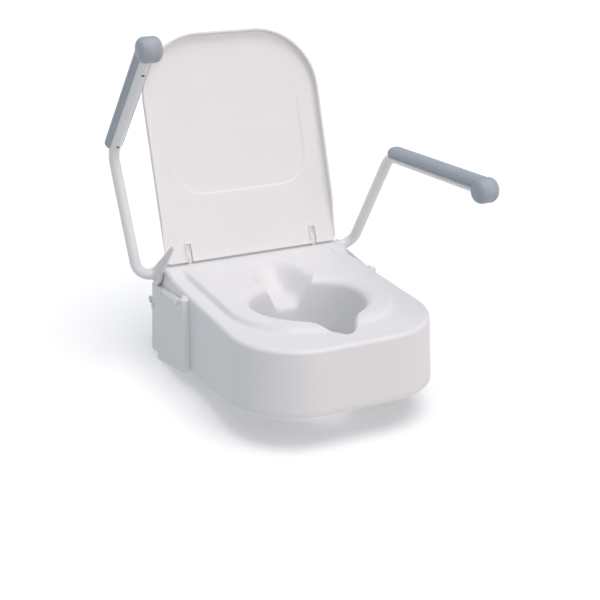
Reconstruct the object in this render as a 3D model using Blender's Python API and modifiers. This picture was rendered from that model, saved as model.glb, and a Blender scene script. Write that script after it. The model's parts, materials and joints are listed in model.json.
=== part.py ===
"""Raised toilet seat with a lid and two fold-up arms, on a bracket that sets its height.

Metres, +Z up, +Y to the rear. Left and right are as seen from the front, with +X to the right. The
origin is on the bowl rim, midway between the two fixing bolts. The seat stands at its middle height
setting, with the lid open, the right arm lowered and the left arm part raised.
"""

import math

import bmesh
import bpy
from mathutils import Matrix, Vector

for item in list(bpy.data.objects):
    bpy.data.objects.remove(item, do_unlink=True)

# Clearance kept between pieces that touch.
GAP = 0.0003
HEX_SIDES = 6

# Seat shell.
SEAT_TOP_Z = 0.110
SEAT_HALF_WIDTH = 0.1925
SEAT_FRONT_Y = -0.450
SEAT_REAR_Y = 0.045
SEAT_FRONT_RADIUS = 0.126
SEAT_REAR_RADIUS = 0.010
SEAT_WALL = 0.004
EDGE_ROUND = 0.008
SKIRT_FRONT_DEPTH = 0.120
SKIRT_REAR_DEPTH = 0.150
SKIRT_DRAFT = 0.010
RING_HALF_WIDTH = 0.1645
RING_FRONT_Y = -0.391
RING_FRONT_RADIUS = 0.148
RING_RISE = 0.009
RING_SLOPE = 0.010
RING_FADE_FRONT_Y = -0.400
RING_FADE_RUN = 0.045
DECK_START_Y = -0.060
DECK_RUN = 0.050
DECK_Z = SEAT_TOP_Z + RING_RISE
SCOOP_DEPTH = 0.050
SCOOP_REAR_Y = -0.030
SCOOP_RUN = 0.095
SCOOP_FRONT_Y = -0.240
SCOOP_FRONT_RUN = 0.040
SCOOP_HALF_WIDTH = 0.034
SCOOP_SPREAD = 0.25
SCOOP_WALL = 0.036
OPENING_CENTRE = Vector((0.0, -0.238))
OPENING_HALF_WIDTH = 0.108
OPENING_REAR_LENGTH = 0.078
OPENING_FRONT_LENGTH = 0.117
FRONT_NOTCH = 0.047
FRONT_NOTCH_SPREAD = math.radians(13.0)
RIM_FRONT_ROUND = 0.010
RIM_ROUND_GAIN = 0.016
RIM_DROP = 0.016
FUNNEL_DEPTH = 0.085
FUNNEL_TAPER = 0.94
REAR_OPENING_HALF_WIDTH = 0.165
REAR_OPENING_TOP = 0.030

# Plan outline steps, shared by the seat and the lid.
REAR_STEPS = 7
REAR_CORNER_STEPS = 4
SIDE_STEPS = 9
FRONT_CORNER_STEPS = 10
FRONT_STEPS = 5

# Lid.
LID_AXIS = Vector((0.0, 0.0051, SEAT_TOP_Z + 0.0175))
LID_OPEN = math.radians(109.5)
LID_HALF_WIDTH = 0.186
LID_LENGTH = 0.4338
LID_REAR = 0.0055
LID_FRONT_RADIUS = 0.125
LID_REAR_RADIUS = 0.012
LID_TOP = -0.001
LID_ROUND = 0.0042
LID_WALL = 0.0035
LID_CROWN = 0.002
LID_LIP = -0.0167
LID_REAR_LIP = -0.006
LID_LIP_RUN = 0.085
LID_PANEL_HALF_WIDTH = 0.139
LID_PANEL_REAR = 0.125
LID_PANEL_MARGIN = 0.030
LID_PANEL_RADIUS = 0.058
LID_PANEL_SLOPE = 0.010
POST_X = 0.135
POST_WIDTH = 0.0085
POST_HALF_DEPTH = 0.0050
POST_TOP_RADIUS = 0.0045
POST_TOP_RISE = 0.0095
POST_LEAN = 0.003
POST_STEM_RADIUS = 0.004
NOTCH_HALF_WIDTH = 0.0048
NOTCH_LENGTH = 0.0295
EAR_WIDTH = 0.006
EAR_RADIUS = 0.0055
FRAME_HALF_WIDTH = 0.0074
FRAME_LENGTH = 0.033
FRAME_PROUD = 0.003
LID_PIN_RADIUS = 0.0025

# Arms. Lengths run forward from the pivot and up from it, with the arm lowered.
ARM_AXIS = Vector((0.0, 0.0208, SEAT_TOP_Z - 0.014))
LEFT_ARM_RAISED = math.radians(42.3)
TUBE_RADIUS = 0.0105
TUBE_BORE = 0.009
TUBE_OFFSET = 0.006
TUBE_START_X = 0.2022
BEND_X = 0.2352
ELBOW_X = 0.2542
RISER_LENGTH = 0.2408
RISER_ANGLE = math.radians(62.86)
PAD_RUN = 0.3284
PAD_RISE = 0.0225
HUB_BEND_RADIUS = 0.030
ELBOW_BEND_RADIUS = 0.040
PAD_HALF_WIDTH = 0.0175
PAD_BOTTOM = 0.002
PAD_SHOULDER = 0.011
PAD_TOP = 0.0225
PAD_START = 0.018
KNOB_RADIUS = 0.0225
KNOB_HALF_WIDTH = 0.021
KNOB_ROUND = 0.014
PAD_SCREWS = {"rear": 0.038, "front": 0.268}
SCREW_RADIUS = 0.002
SCREW_HEAD_RADIUS = 0.004
SCREW_HEAD_HEIGHT = 0.0028

# Arm pivot and stop lever.
PIVOT_PIN_RADIUS = 0.004
BUSH_RADIUS = 0.0057
LEVER_INNER_X = 0.1946
LEVER_OUTER_X = 0.2016
LEVER_LENGTH = 0.1292
LEVER_HUB_RADIUS = 0.016
LEVER_FOOT = 0.020
LEVER_LEDGE_DROP = 0.0178
LEVER_LEDGE_SLOPE = 0.125
ARM_TRAVEL = math.radians(55.0)
HEEL_LENGTH = 0.009

# Side cheek.
CHEEK_INNER_X = SEAT_HALF_WIDTH + GAP
CHEEK_OUTER_X = 0.2005
CHEEK_TAPER = 0.035
CHEEK_FRONT_Y = -0.137
CHEEK_REAR_Y = 0.0435
CHEEK_STEP_Y = 0.009
RIB_WIDTH = 0.012
RIB_PROUD = 0.006
SLOT_Y = 0.0325
SLOT_WIDTH = 0.007
SLOT_DEPTH = 0.004
SCREW_TIP_X = CHEEK_OUTER_X - 0.0022
SCREW_HOLE_X = CHEEK_OUTER_X - 0.0018

# Height rails, bracket and latches.
RAIL_INNER_X = 0.176
RAIL_LENGTH_Y = 0.030
LATCH_Y = 0.015
LATCH_Z = 0.022
LATCH_RADIUS = 0.005
TAB_LOW_Z = 0.0305
TAB_HIGH_Z = 0.0415
SETTING_STEPS = (-0.040, 0.0, 0.050)
BASE_THICKNESS = 0.008
BASE_FRONT_Y = -0.030
BASE_REAR_Y = 0.040
FORK_HEIGHT = 0.034
FORK_INNER_X = 0.1675
FORK_FACE_X = 0.1755
FORK_TIP_X = 0.186
FIXING_X = 0.0775
FIXING_SLOT = 0.015
BOLT_RADIUS = 0.004
BOLT_LENGTH = 0.062

# Front feet.
FOOT_CENTRE = Vector((0.138, -0.335))
FOOT_HALF_SIZE = Vector((0.018, 0.014))
FOOT_PAD_HEIGHT = 0.0037
FOOT_PAD_SPREAD = 0.002
FOOT_TOP_GAP = 0.0012

SIDES = {"left": -1.0, "right": 1.0}

parts = bpy.data.collections.new("raised_toilet_seat")
cutters = bpy.data.collections.new("cutters")
for collection in (parts, cutters):
    bpy.context.scene.collection.children.link(collection)


def material(name, colour, roughness, metallic=0.0):
    """A Principled material in one plain colour."""
    made = bpy.data.materials.new(name)
    made.use_nodes = True
    shader = made.node_tree.nodes["Principled BSDF"]
    shader.inputs["Base Color"].default_value = (*colour, 1.0)
    shader.inputs["Roughness"].default_value = roughness
    shader.inputs["Metallic"].default_value = metallic
    made.diffuse_color = (*colour, 1.0)
    return made


WHITE_PLASTIC = material("white_plastic", (0.83, 0.83, 0.84), 0.35)
WHITE_PAINT = material("white_paint", (0.86, 0.86, 0.86), 0.30)
GREY_PAD = material("grey_pad", (0.31, 0.37, 0.41), 0.50)
GREY_NYLON = material("grey_nylon", (0.55, 0.57, 0.58), 0.45)
BLACK_RUBBER = material("black_rubber", (0.03, 0.03, 0.03), 0.80)
ZINC_STEEL = material("zinc_steel", (0.60, 0.60, 0.62), 0.30, 1.0)


def smoothstep(value):
    value = min(max(value, 0.0), 1.0)
    return value * value * (3.0 - 2.0 * value)


def finish(name, mesh, finish_material, parent=None, smooth=True):
    """Link a mesh as a named piece of the object."""
    piece = bpy.data.objects.new(name, mesh)
    parts.objects.link(piece)
    piece.parent = parent
    mesh.materials.append(finish_material)
    if smooth:
        mesh.shade_smooth()
        mesh.set_sharp_from_angle(angle=math.radians(35.0))
    return piece


def as_mesh(name, bm):
    mesh = bpy.data.meshes.new(name)
    bm.to_mesh(mesh)
    bm.free()
    return mesh


def tool(mesh, parent=None):
    """A hidden shape that cuts or joins a piece."""
    shape = bpy.data.objects.new("tool_" + mesh.name, mesh)
    cutters.objects.link(shape)
    shape.parent = parent
    shape.hide_render = True
    shape.display_type = "WIRE"
    return shape


def boolean(piece, shape, operation):
    step = piece.modifiers.new(operation.lower(), "BOOLEAN")
    step.operation = operation
    step.solver = "EXACT"
    step.object = shape


def cut(piece, mesh, parent=None):
    boolean(piece, tool(mesh, parent), "DIFFERENCE")


def join(piece, mesh, parent=None):
    boolean(piece, tool(mesh, parent), "UNION")


def box(name, low, high):
    low = Vector(low)
    high = Vector(high)
    bm = bmesh.new()
    size = high - low
    place = Matrix.Translation((low + high) / 2.0) @ Matrix.Diagonal((*size, 1.0))
    bmesh.ops.create_cube(bm, size=1.0, matrix=place)
    return as_mesh(name, bm)


def side_box(name, side, x_range, y_range, z_range):
    """A box given for the right side, mirrored to the left where side is -1."""
    xs = sorted(side * x for x in x_range)
    return box(name, (xs[0], y_range[0], z_range[0]), (xs[1], y_range[1], z_range[1]))


def rod(name, start, end, radius, segments=16):
    start = Vector(start)
    end = Vector(end)
    turn = (end - start).to_track_quat("Z", "Y").to_matrix().to_4x4()
    bm = bmesh.new()
    bmesh.ops.create_cone(
        bm,
        cap_ends=True,
        segments=segments,
        radius1=radius,
        radius2=radius,
        depth=(end - start).length,
        matrix=Matrix.Translation((start + end) / 2.0) @ turn,
    )
    return as_mesh(name, bm)


def curve_mesh(curve, name):
    """The closed mesh of a curve, with its caps welded on."""
    shape = bpy.data.objects.new(name, curve)
    bpy.context.scene.collection.objects.link(shape)
    graph = bpy.context.evaluated_depsgraph_get()
    mesh = bpy.data.meshes.new_from_object(shape.evaluated_get(graph))
    mesh.name = name
    bpy.data.objects.remove(shape, do_unlink=True)
    bm = bmesh.new()
    bm.from_mesh(mesh)
    bmesh.ops.remove_doubles(bm, verts=bm.verts, dist=0.000001)
    bmesh.ops.recalc_face_normals(bm, faces=bm.faces)
    bm.to_mesh(mesh)
    bm.free()
    return mesh


def poly_curve(name, points, closed):
    curve = bpy.data.curves.new(name, "CURVE")
    spline = curve.splines.new("POLY")
    spline.points.add(len(points) - 1)
    for vertex, point in zip(spline.points, points):
        vertex.co = (*point, 1.0)
    spline.use_cyclic_u = closed
    return curve


def plate(name, outline_points, thickness, place):
    """A flat outline of the given thickness, centred on its own plane, then placed."""
    curve = poly_curve(name, [(a, b, 0.0) for a, b in outline_points], True)
    curve.dimensions = "2D"
    curve.fill_mode = "BOTH"
    curve.extrude = thickness / 2.0
    mesh = curve_mesh(curve, name)
    mesh.transform(place)
    return mesh


def side_plate(name, side, outline_yz, inner_x, outer_x):
    """A plate in the YZ plane between two distances from the middle."""
    stand = Matrix(((0, 0, 1, 0), (1, 0, 0, 0), (0, 1, 0, 0), (0, 0, 0, 1)))
    middle = side * (inner_x + outer_x) / 2.0
    return plate(name, outline_yz, outer_x - inner_x, Matrix.Translation((middle, 0.0, 0.0)) @ stand)


def turned(name, profile, finish_material, place, parent=None, closed=True, segments=20):
    """A profile of (radius, height) turned about its own Z axis, then placed."""
    bm = bmesh.new()
    points = [bm.verts.new((radius, 0.0, height)) for radius, height in profile]
    for first, second in zip(points, points[1:]):
        bm.edges.new((first, second))
    if closed:
        bm.edges.new((points[-1], points[0]))
    piece = finish(name, as_mesh(name, bm), finish_material, parent, smooth=False)
    screw = piece.modifiers.new("turn", "SCREW")
    screw.steps = segments
    screw.render_steps = segments
    screw.use_merge_vertices = True
    screw.merge_threshold = 0.00001
    screw.use_smooth_shade = True
    piece.matrix_basis = place
    return piece


def ring_profile(bore, radius, bottom, top):
    return [(radius, top), (radius, bottom), (bore, bottom), (bore, top)]


def hex_bore(radius):
    """Corner radius of a six-sided bore that clears a round stem."""
    return (radius + GAP) / math.cos(math.pi / HEX_SIDES)


def along_x(side, origin=Vector((0.0, 0.0, 0.0))):
    """Turns +Z to point outward along X on the given side."""
    return Matrix.Translation(origin) @ Matrix.Rotation(side * math.pi / 2.0, 4, "Y")


def arc(centre, radius, start, end, steps):
    """Points on an arc, angles in degrees."""
    points = []
    for i in range(steps + 1):
        angle = math.radians(start + (end - start) * i / steps)
        points.append((centre[0] + radius * math.cos(angle), centre[1] + radius * math.sin(angle)))
    return points


def plan_outline(half_width, front_y, rear_y, front_radius, rear_radius):
    """Round-fronted outline, clockwise from the rear centre as seen from above."""
    flat = half_width - rear_radius
    side_rear = rear_y - rear_radius
    side_front = front_y + front_radius
    front_flat = half_width - front_radius
    half = [(flat * i / REAR_STEPS, rear_y) for i in range(REAR_STEPS)]
    half += arc((flat, side_rear), rear_radius, 90.0, 0.0, REAR_CORNER_STEPS)[:-1]
    run = side_front - side_rear
    half += [(half_width, side_rear + run * i / SIDE_STEPS) for i in range(SIDE_STEPS)]
    half += arc((front_flat, side_front), front_radius, 0.0, -90.0, FRONT_CORNER_STEPS)[:-1]
    half += [(front_flat * (1.0 - i / FRONT_STEPS), front_y) for i in range(FRONT_STEPS + 1)]
    return half + [(-x, y) for x, y in reversed(half[1:-1])]


def seat_outline(inset):
    return plan_outline(
        SEAT_HALF_WIDTH - inset,
        SEAT_FRONT_Y + inset,
        SEAT_REAR_Y - inset,
        SEAT_FRONT_RADIUS - inset,
        max(SEAT_REAR_RADIUS - inset, 0.002),
    )


def ring_inset(x, y):
    """Distance in from the outline of the raised seating ring, which is open at the rear."""
    corner_x = RING_HALF_WIDTH - RING_FRONT_RADIUS
    corner_y = RING_FRONT_Y + RING_FRONT_RADIUS
    if abs(x) > corner_x and y < corner_y:
        return RING_FRONT_RADIUS - math.hypot(abs(x) - corner_x, y - corner_y)
    return min(RING_HALF_WIDTH - abs(x), y - RING_FRONT_Y)


def from_front(angle):
    """Angle about the opening's centre, measured from straight ahead."""
    return abs(math.remainder(angle + math.pi / 2.0, 2.0 * math.pi))


def opening_radius(angle):
    """Keyhole opening: an egg drawn out into a notch at the front."""
    length = OPENING_REAR_LENGTH if math.sin(angle) > 0.0 else OPENING_FRONT_LENGTH
    reach = 1.0 / math.hypot(math.cos(angle) / OPENING_HALF_WIDTH, math.sin(angle) / length)
    return reach + FRONT_NOTCH * math.exp(-(from_front(angle) / FRONT_NOTCH_SPREAD) ** 2)


def rim_round(angle):
    """Width of the opening's rounded rim, tight at the notch and broad at the sides and rear."""
    return RIM_FRONT_ROUND + RIM_ROUND_GAIN * smoothstep((math.degrees(from_front(angle)) - 25.0) / 70.0)


def edge_height(y):
    """Height of the seat's border, which rises to a deck at the lid's hinge."""
    return SEAT_TOP_Z + RING_RISE * smoothstep((y - DECK_START_Y) / DECK_RUN)


def seat_height(x, y):
    """Height of the seating surface, with its border ledge, raised ring and rear scoop."""
    fade = smoothstep((y - RING_FADE_FRONT_Y) / RING_FADE_RUN)
    ring = fade * smoothstep(ring_inset(x, y) / RING_SLOPE)
    edge = edge_height(y)
    half_width = SCOOP_HALF_WIDTH + SCOOP_SPREAD * max(SCOOP_REAR_Y - y, 0.0)
    across = smoothstep((half_width - abs(x)) / SCOOP_WALL)
    along = smoothstep((SCOOP_REAR_Y - y) / SCOOP_RUN)
    along *= smoothstep((y - SCOOP_FRONT_Y) / SCOOP_FRONT_RUN)
    return edge + (DECK_Z - edge) * ring - SCOOP_DEPTH * across * along


def skirt_bottom(y):
    drop = SKIRT_REAR_DEPTH - SKIRT_FRONT_DEPTH
    return SEAT_TOP_Z - SKIRT_FRONT_DEPTH - drop * smoothstep((y + 0.430) / 0.300)


def skirt_draft(y):
    return SKIRT_DRAFT * min(max((-0.150 - y) / 0.300, 0.0), 1.0) ** 1.5


def loft(name, rings, cap=False):
    """Faces between rings of equal count, each ring clockwise as seen from above."""
    bm = bmesh.new()
    loops = [[bm.verts.new(point) for point in ring] for ring in rings]
    count = len(loops[0])
    for outer, inner in zip(loops, loops[1:]):
        for i in range(count):
            j = (i + 1) % count
            bm.faces.new((outer[i], inner[i], inner[j], outer[j]))
    if cap:
        bm.faces.new(list(reversed(loops[-1])))
    return as_mesh(name, bm)


def solidify(piece, thickness):
    shell = piece.modifiers.new("wall", "SOLIDIFY")
    shell.thickness = thickness
    shell.offset = -1.0
    shell.use_even_offset = True
    shell.use_quality_normals = True


def seat_rings():
    """Rings from the foot of the skirt, over the seat and down the splash funnel."""
    edge = seat_outline(0.0)
    foot = []
    for (x, y), (wide_x, wide_y) in zip(edge, seat_outline(-SKIRT_DRAFT)):
        share = skirt_draft(y) / SKIRT_DRAFT
        foot.append((x + (wide_x - x) * share, y + (wide_y - y) * share, skirt_bottom(y)))
    rings = [foot, [(x, y, edge_height(y) - EDGE_ROUND) for x, y in edge]]
    eased = EDGE_ROUND * (1.0 - math.sqrt(0.5))
    rings.append([(x, y, edge_height(y) - eased) for x, y in seat_outline(eased)])
    flat = seat_outline(EDGE_ROUND)
    mouth = []
    rim = []
    for x, y in flat:
        out = (Vector((x, y)) - OPENING_CENTRE).normalized()
        angle = math.atan2(out.y, out.x)
        mouth.append(OPENING_CENTRE + out * opening_radius(angle))
        rim.append(mouth[-1] + out * rim_round(angle))
    for share in (0.0, 0.20, 0.28, 0.36, 0.50, 0.66, 0.82, 1.0):
        ring = []
        for start, end in zip(flat, rim):
            point = Vector(start).lerp(end, share)
            ring.append((point.x, point.y, seat_height(point.x, point.y)))
        rings.append(ring)
    for turn in (math.radians(35.0), math.radians(65.0), math.radians(90.0)):
        ring = []
        for start, end in zip(rim, mouth):
            point = start.lerp(end, math.sin(turn))
            ring.append((point.x, point.y, seat_height(*start) - RIM_DROP * (1.0 - math.cos(turn))))
        rings.append(ring)
    low = [OPENING_CENTRE + (end - OPENING_CENTRE) * FUNNEL_TAPER for end in mouth]
    rings.append([(point.x, point.y, SEAT_TOP_Z - FUNNEL_DEPTH) for point in low])
    return rings


def screw_heights():
    """Rail screws sit between the three latch dimples."""
    return {"upper": LATCH_Z + 0.020, "lower": LATCH_Z - 0.025}


FRONT_SCREW_Y = -0.120
FRONT_SCREW_Z = SEAT_TOP_Z - 0.090


def build_seat_shell():
    shell = finish("seat_shell", loft("seat_shell", seat_rings()), WHITE_PLASTIC)
    solidify(shell, SEAT_WALL)
    rear = box(
        "rear_opening",
        (-REAR_OPENING_HALF_WIDTH, SEAT_REAR_Y - 0.020, SEAT_TOP_Z - 0.200),
        (REAR_OPENING_HALF_WIDTH, SEAT_REAR_Y + 0.020, SEAT_TOP_Z - REAR_OPENING_TOP),
    )
    cut(shell, rear)
    for name, side in SIDES.items():
        inside = side * (SEAT_HALF_WIDTH - 0.020)
        outside = side * (SEAT_HALF_WIDTH + 0.020)
        holes = [(ARM_AXIS.y, ARM_AXIS.z, BUSH_RADIUS), (FRONT_SCREW_Y, FRONT_SCREW_Z, SCREW_RADIUS)]
        holes += [(LATCH_Y, z, SCREW_RADIUS) for z in screw_heights().values()]
        for y, z, radius in holes:
            cut(shell, rod(name + "_wall_hole", (inside, y, z), (outside, y, z), radius + GAP))
        stem = side * POST_X
        top = (stem, LID_AXIS.y, DECK_Z + 0.010)
        below = (stem, LID_AXIS.y, DECK_Z - 0.015)
        cut(shell, rod(name + "_stem_hole", top, below, POST_STEM_RADIUS + GAP))


def ledge_drop(forward):
    """How far the cheek's ledge lies below the arm pivot, at a distance forward of it."""
    return LEVER_LEDGE_DROP - LEVER_LEDGE_SLOPE * forward


def build_cheek(name, side):
    """Side cheek: carries the ledge that the arm's stop lever rests on, and a front rib."""
    top = SEAT_TOP_Z

    def ledge(y):
        return ARM_AXIS.z - ledge_drop(ARM_AXIS.y - y) - GAP

    outline = [
        (CHEEK_REAR_Y, ledge(CHEEK_REAR_Y)),
        (-0.113, ledge(-0.113)),
        (-0.117, top - 0.008),
        (-0.121, top - 0.003),
        (-0.133, top - 0.003),
        (CHEEK_FRONT_Y, top - 0.008),
        (CHEEK_FRONT_Y, top - 0.151),
        (-0.130, top - 0.156),
        (CHEEK_STEP_Y, top - 0.186),
        (CHEEK_STEP_Y, top - 0.172),
        (CHEEK_REAR_Y, top - 0.177),
    ]
    mesh = side_plate(name, side, outline, CHEEK_INNER_X, CHEEK_OUTER_X)
    middle = (CHEEK_INNER_X + CHEEK_OUTER_X) / 2.0
    for vertex in mesh.vertices:
        if abs(vertex.co.x) > middle:
            vertex.co.x += side * CHEEK_TAPER * max(top - 0.040 - vertex.co.z, 0.0)
    cheek = finish(name, mesh, WHITE_PLASTIC)
    rib = side_plate(
        name + "_rib",
        side,
        arc((CHEEK_FRONT_Y + RIB_WIDTH / 2.0, top - 0.0095), RIB_WIDTH / 2.0, 0.0, 180.0, 8)
        + arc((CHEEK_FRONT_Y + RIB_WIDTH / 2.0, top - 0.140), RIB_WIDTH / 2.0, 180.0, 360.0, 8),
        CHEEK_OUTER_X - 0.003,
        CHEEK_OUTER_X + RIB_PROUD,
    )
    join(cheek, rib)
    lip = [
        (-0.004, ledge(-0.004) - 0.001),
        (-0.004, ledge(-0.004) - 0.011),
        (-0.014, ledge(-0.014) - 0.011),
        (-0.016, ledge(-0.016) - 0.006),
        (-0.090, ledge(-0.090) - 0.006),
        (-0.092, ledge(-0.092) - 0.011),
        (-0.102, ledge(-0.102) - 0.011),
        (-0.102, ledge(-0.102) - 0.001),
    ]
    join(cheek, side_plate(name + "_lip", side, lip, CHEEK_OUTER_X - 0.003, CHEEK_OUTER_X + 0.004))
    slot_x = (CHEEK_OUTER_X - SLOT_DEPTH, CHEEK_OUTER_X + 0.020)
    slot_y = (SLOT_Y - SLOT_WIDTH / 2.0, SLOT_Y + SLOT_WIDTH / 2.0)
    cut(cheek, side_box(name + "_slot", side, slot_x, slot_y, (top - 0.086, top - 0.072)))
    inner = side * (CHEEK_INNER_X - 0.005)
    blind = side * SCREW_HOLE_X
    holes = [(LATCH_Y, z) for z in screw_heights().values()] + [(FRONT_SCREW_Y, FRONT_SCREW_Z)]
    for y, z in holes:
        cut(cheek, rod(name + "_hole", (inner, y, z), (blind, y, z), SCREW_RADIUS + GAP, 12))


def build_screw(name, side, head_x, tip_x, y, z):
    profile = [
        (0.0, tip_x - head_x),
        (SCREW_RADIUS, tip_x - head_x),
        (SCREW_RADIUS, SCREW_HEAD_HEIGHT),
        (SCREW_HEAD_RADIUS, SCREW_HEAD_HEIGHT),
        (SCREW_HEAD_RADIUS, 0.0006),
        (SCREW_HEAD_RADIUS - 0.001, 0.0),
        (0.0, 0.0),
    ]
    place = along_x(side, Vector((side * head_x, y, z)))
    turned(name, profile, ZINC_STEEL, place, closed=False, segments=12)


def build_rail(name, side):
    """Height rail on the inside of the seat's wall, with a dimple for each setting."""
    outer_x = SEAT_HALF_WIDTH - SEAT_WALL - GAP
    mesh = side_box(
        name,
        side,
        (RAIL_INNER_X, outer_x),
        (0.0, RAIL_LENGTH_Y),
        (SEAT_TOP_Z - SKIRT_REAR_DEPTH, SEAT_TOP_Z - 0.036),
    )
    rail = finish(name, mesh, WHITE_PLASTIC, smooth=False)
    face = side * (RAIL_INNER_X - 0.005)
    for step in SETTING_STEPS:
        z = LATCH_Z - step
        end = side * (RAIL_INNER_X + 0.003)
        cut(rail, rod(name + "_dimple", (face, LATCH_Y, z), (end, LATCH_Y, z), LATCH_RADIUS + 0.0006, 12))
    for label, z in screw_heights().items():
        deep = side * (RAIL_INNER_X + 0.004)
        through = side * (outer_x + 0.005)
        cut(rail, rod(name + "_hole", (face, LATCH_Y, z), (through, LATCH_Y, z), SCREW_RADIUS + GAP, 12))
        cut(rail, rod(name + "_bore", (face, LATCH_Y, z), (deep, LATCH_Y, z), SCREW_HEAD_RADIUS + GAP, 12))
        head_x = RAIL_INNER_X + 0.004 - GAP - SCREW_HEAD_HEIGHT
        build_screw(f"{name}_screw_{label}", side, head_x, SCREW_TIP_X, LATCH_Y, z)


def build_pivot_seat(prefix, side):
    """Block and bush under the seat that the arm's pivot pin turns in."""
    y, z = ARM_AXIS.y, ARM_AXIS.z
    block = finish(
        prefix + "_pivot_block",
        side_box(
            prefix + "_pivot_block",
            side,
            (0.1530, 0.1842),
            (y - 0.013, y + 0.013),
            (z - 0.014, DECK_Z - SEAT_WALL - 0.0030),
        ),
        WHITE_PLASTIC,
        smooth=False,
    )
    cut(block, rod(prefix + "_block_hole", (side * 0.14, y, z), (side * 0.20, y, z), BUSH_RADIUS + GAP))
    flange = SEAT_HALF_WIDTH + GAP
    bore = PIVOT_PIN_RADIUS + GAP
    profile = [
        (0.009, LEVER_INNER_X - GAP),
        (0.009, flange),
        (BUSH_RADIUS, flange),
        (BUSH_RADIUS, 0.1533),
        (bore, 0.1533),
        (bore, LEVER_INNER_X - GAP),
    ]
    turned(prefix + "_pivot_bush", profile, GREY_NYLON, along_x(side, Vector((0.0, y, z))), segments=16)


def build_lid_post(prefix, side):
    """Hinge post for the lid, its stem passing down through the seat to a nut."""
    y = LID_AXIS.y
    outline = arc((y + POST_LEAN, LID_AXIS.z + POST_TOP_RISE), POST_TOP_RADIUS, -10.0, 170.0, 10)
    outline += [(y - POST_HALF_DEPTH, LID_AXIS.z), (y - POST_HALF_DEPTH, DECK_Z + GAP)]
    outline += [(y + POST_HALF_DEPTH, DECK_Z + GAP), (y + POST_HALF_DEPTH, LID_AXIS.z)]
    name = prefix + "_lid_post"
    inner = POST_X - POST_WIDTH / 2.0
    post = finish(name, side_plate(name, side, outline, inner, inner + POST_WIDTH), WHITE_PLASTIC)
    x = side * POST_X
    stem = ((x, y, DECK_Z - 0.0135), (x, y, DECK_Z + 0.004))
    join(post, rod(name + "_stem", *stem, POST_STEM_RADIUS))
    ends = ((side * 0.100, y, LID_AXIS.z), (side * 0.160, y, LID_AXIS.z))
    cut(post, rod(name + "_bore", *ends, LID_PIN_RADIUS + GAP))
    nut = ring_profile(hex_bore(POST_STEM_RADIUS), 0.0080, -0.0122, -SEAT_WALL - GAP)
    place = Matrix.Translation((x, y, DECK_Z))
    turned(prefix + "_lid_post_nut", nut, GREY_NYLON, place, segments=HEX_SIDES)


def build_front_foot(prefix, side):
    """Support foot under the seat's border ledge, on a rubber pad."""
    centre = Vector((side * FOOT_CENTRE.x, FOOT_CENTRE.y))
    low = centre - FOOT_HALF_SIZE
    high = centre + FOOT_HALF_SIZE
    under = min(seat_height(x, y) for x in (low.x, high.x) for y in (low.y, high.y)) - SEAT_WALL
    foot = box(prefix + "_front_foot", (*low, FOOT_PAD_HEIGHT + GAP), (*high, under - FOOT_TOP_GAP))
    finish(prefix + "_front_foot", foot, WHITE_PLASTIC, smooth=False)
    spread = Vector((FOOT_PAD_SPREAD, FOOT_PAD_SPREAD))
    pad = box(prefix + "_foot_pad", (*(low - spread), 0.0), (*(high + spread), FOOT_PAD_HEIGHT))
    finish(prefix + "_foot_pad", pad, BLACK_RUBBER, smooth=False)


def lid_rings():
    """Rings from the foot of the lid's lip to its raised panel, closed, about the hinge axis."""

    def edge(inset):
        radius = LID_FRONT_RADIUS - inset
        return plan_outline(
            LID_HALF_WIDTH - inset,
            inset - LID_LENGTH,
            LID_REAR - inset,
            radius,
            LID_REAR_RADIUS - inset,
        )

    def lip(y):
        forward = smoothstep((-LID_REAR_RADIUS - y) / LID_LIP_RUN)
        return LID_REAR_LIP + (LID_LIP - LID_REAR_LIP) * forward

    eased = LID_ROUND * (1.0 - math.sqrt(0.5))
    rings = [[(x, y, lip(y)) for x, y in edge(0.0)]]
    rings.append([(x, y, LID_TOP - LID_ROUND) for x, y in edge(0.0)])
    rings.append([(x, y, LID_TOP - eased) for x, y in edge(eased)])
    rings.append([(x, y, LID_TOP) for x, y in edge(LID_ROUND)])
    for spread, height in ((LID_PANEL_SLOPE, LID_TOP), (0.0, LID_TOP + LID_CROWN)):
        panel = plan_outline(
            LID_PANEL_HALF_WIDTH + spread,
            LID_PANEL_MARGIN - LID_LENGTH - spread,
            spread - LID_PANEL_REAR,
            LID_FRONT_RADIUS - LID_PANEL_MARGIN + spread,
            LID_PANEL_RADIUS + spread,
        )
        rings.append([(x, y, height) for x, y in panel])
    return rings


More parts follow.
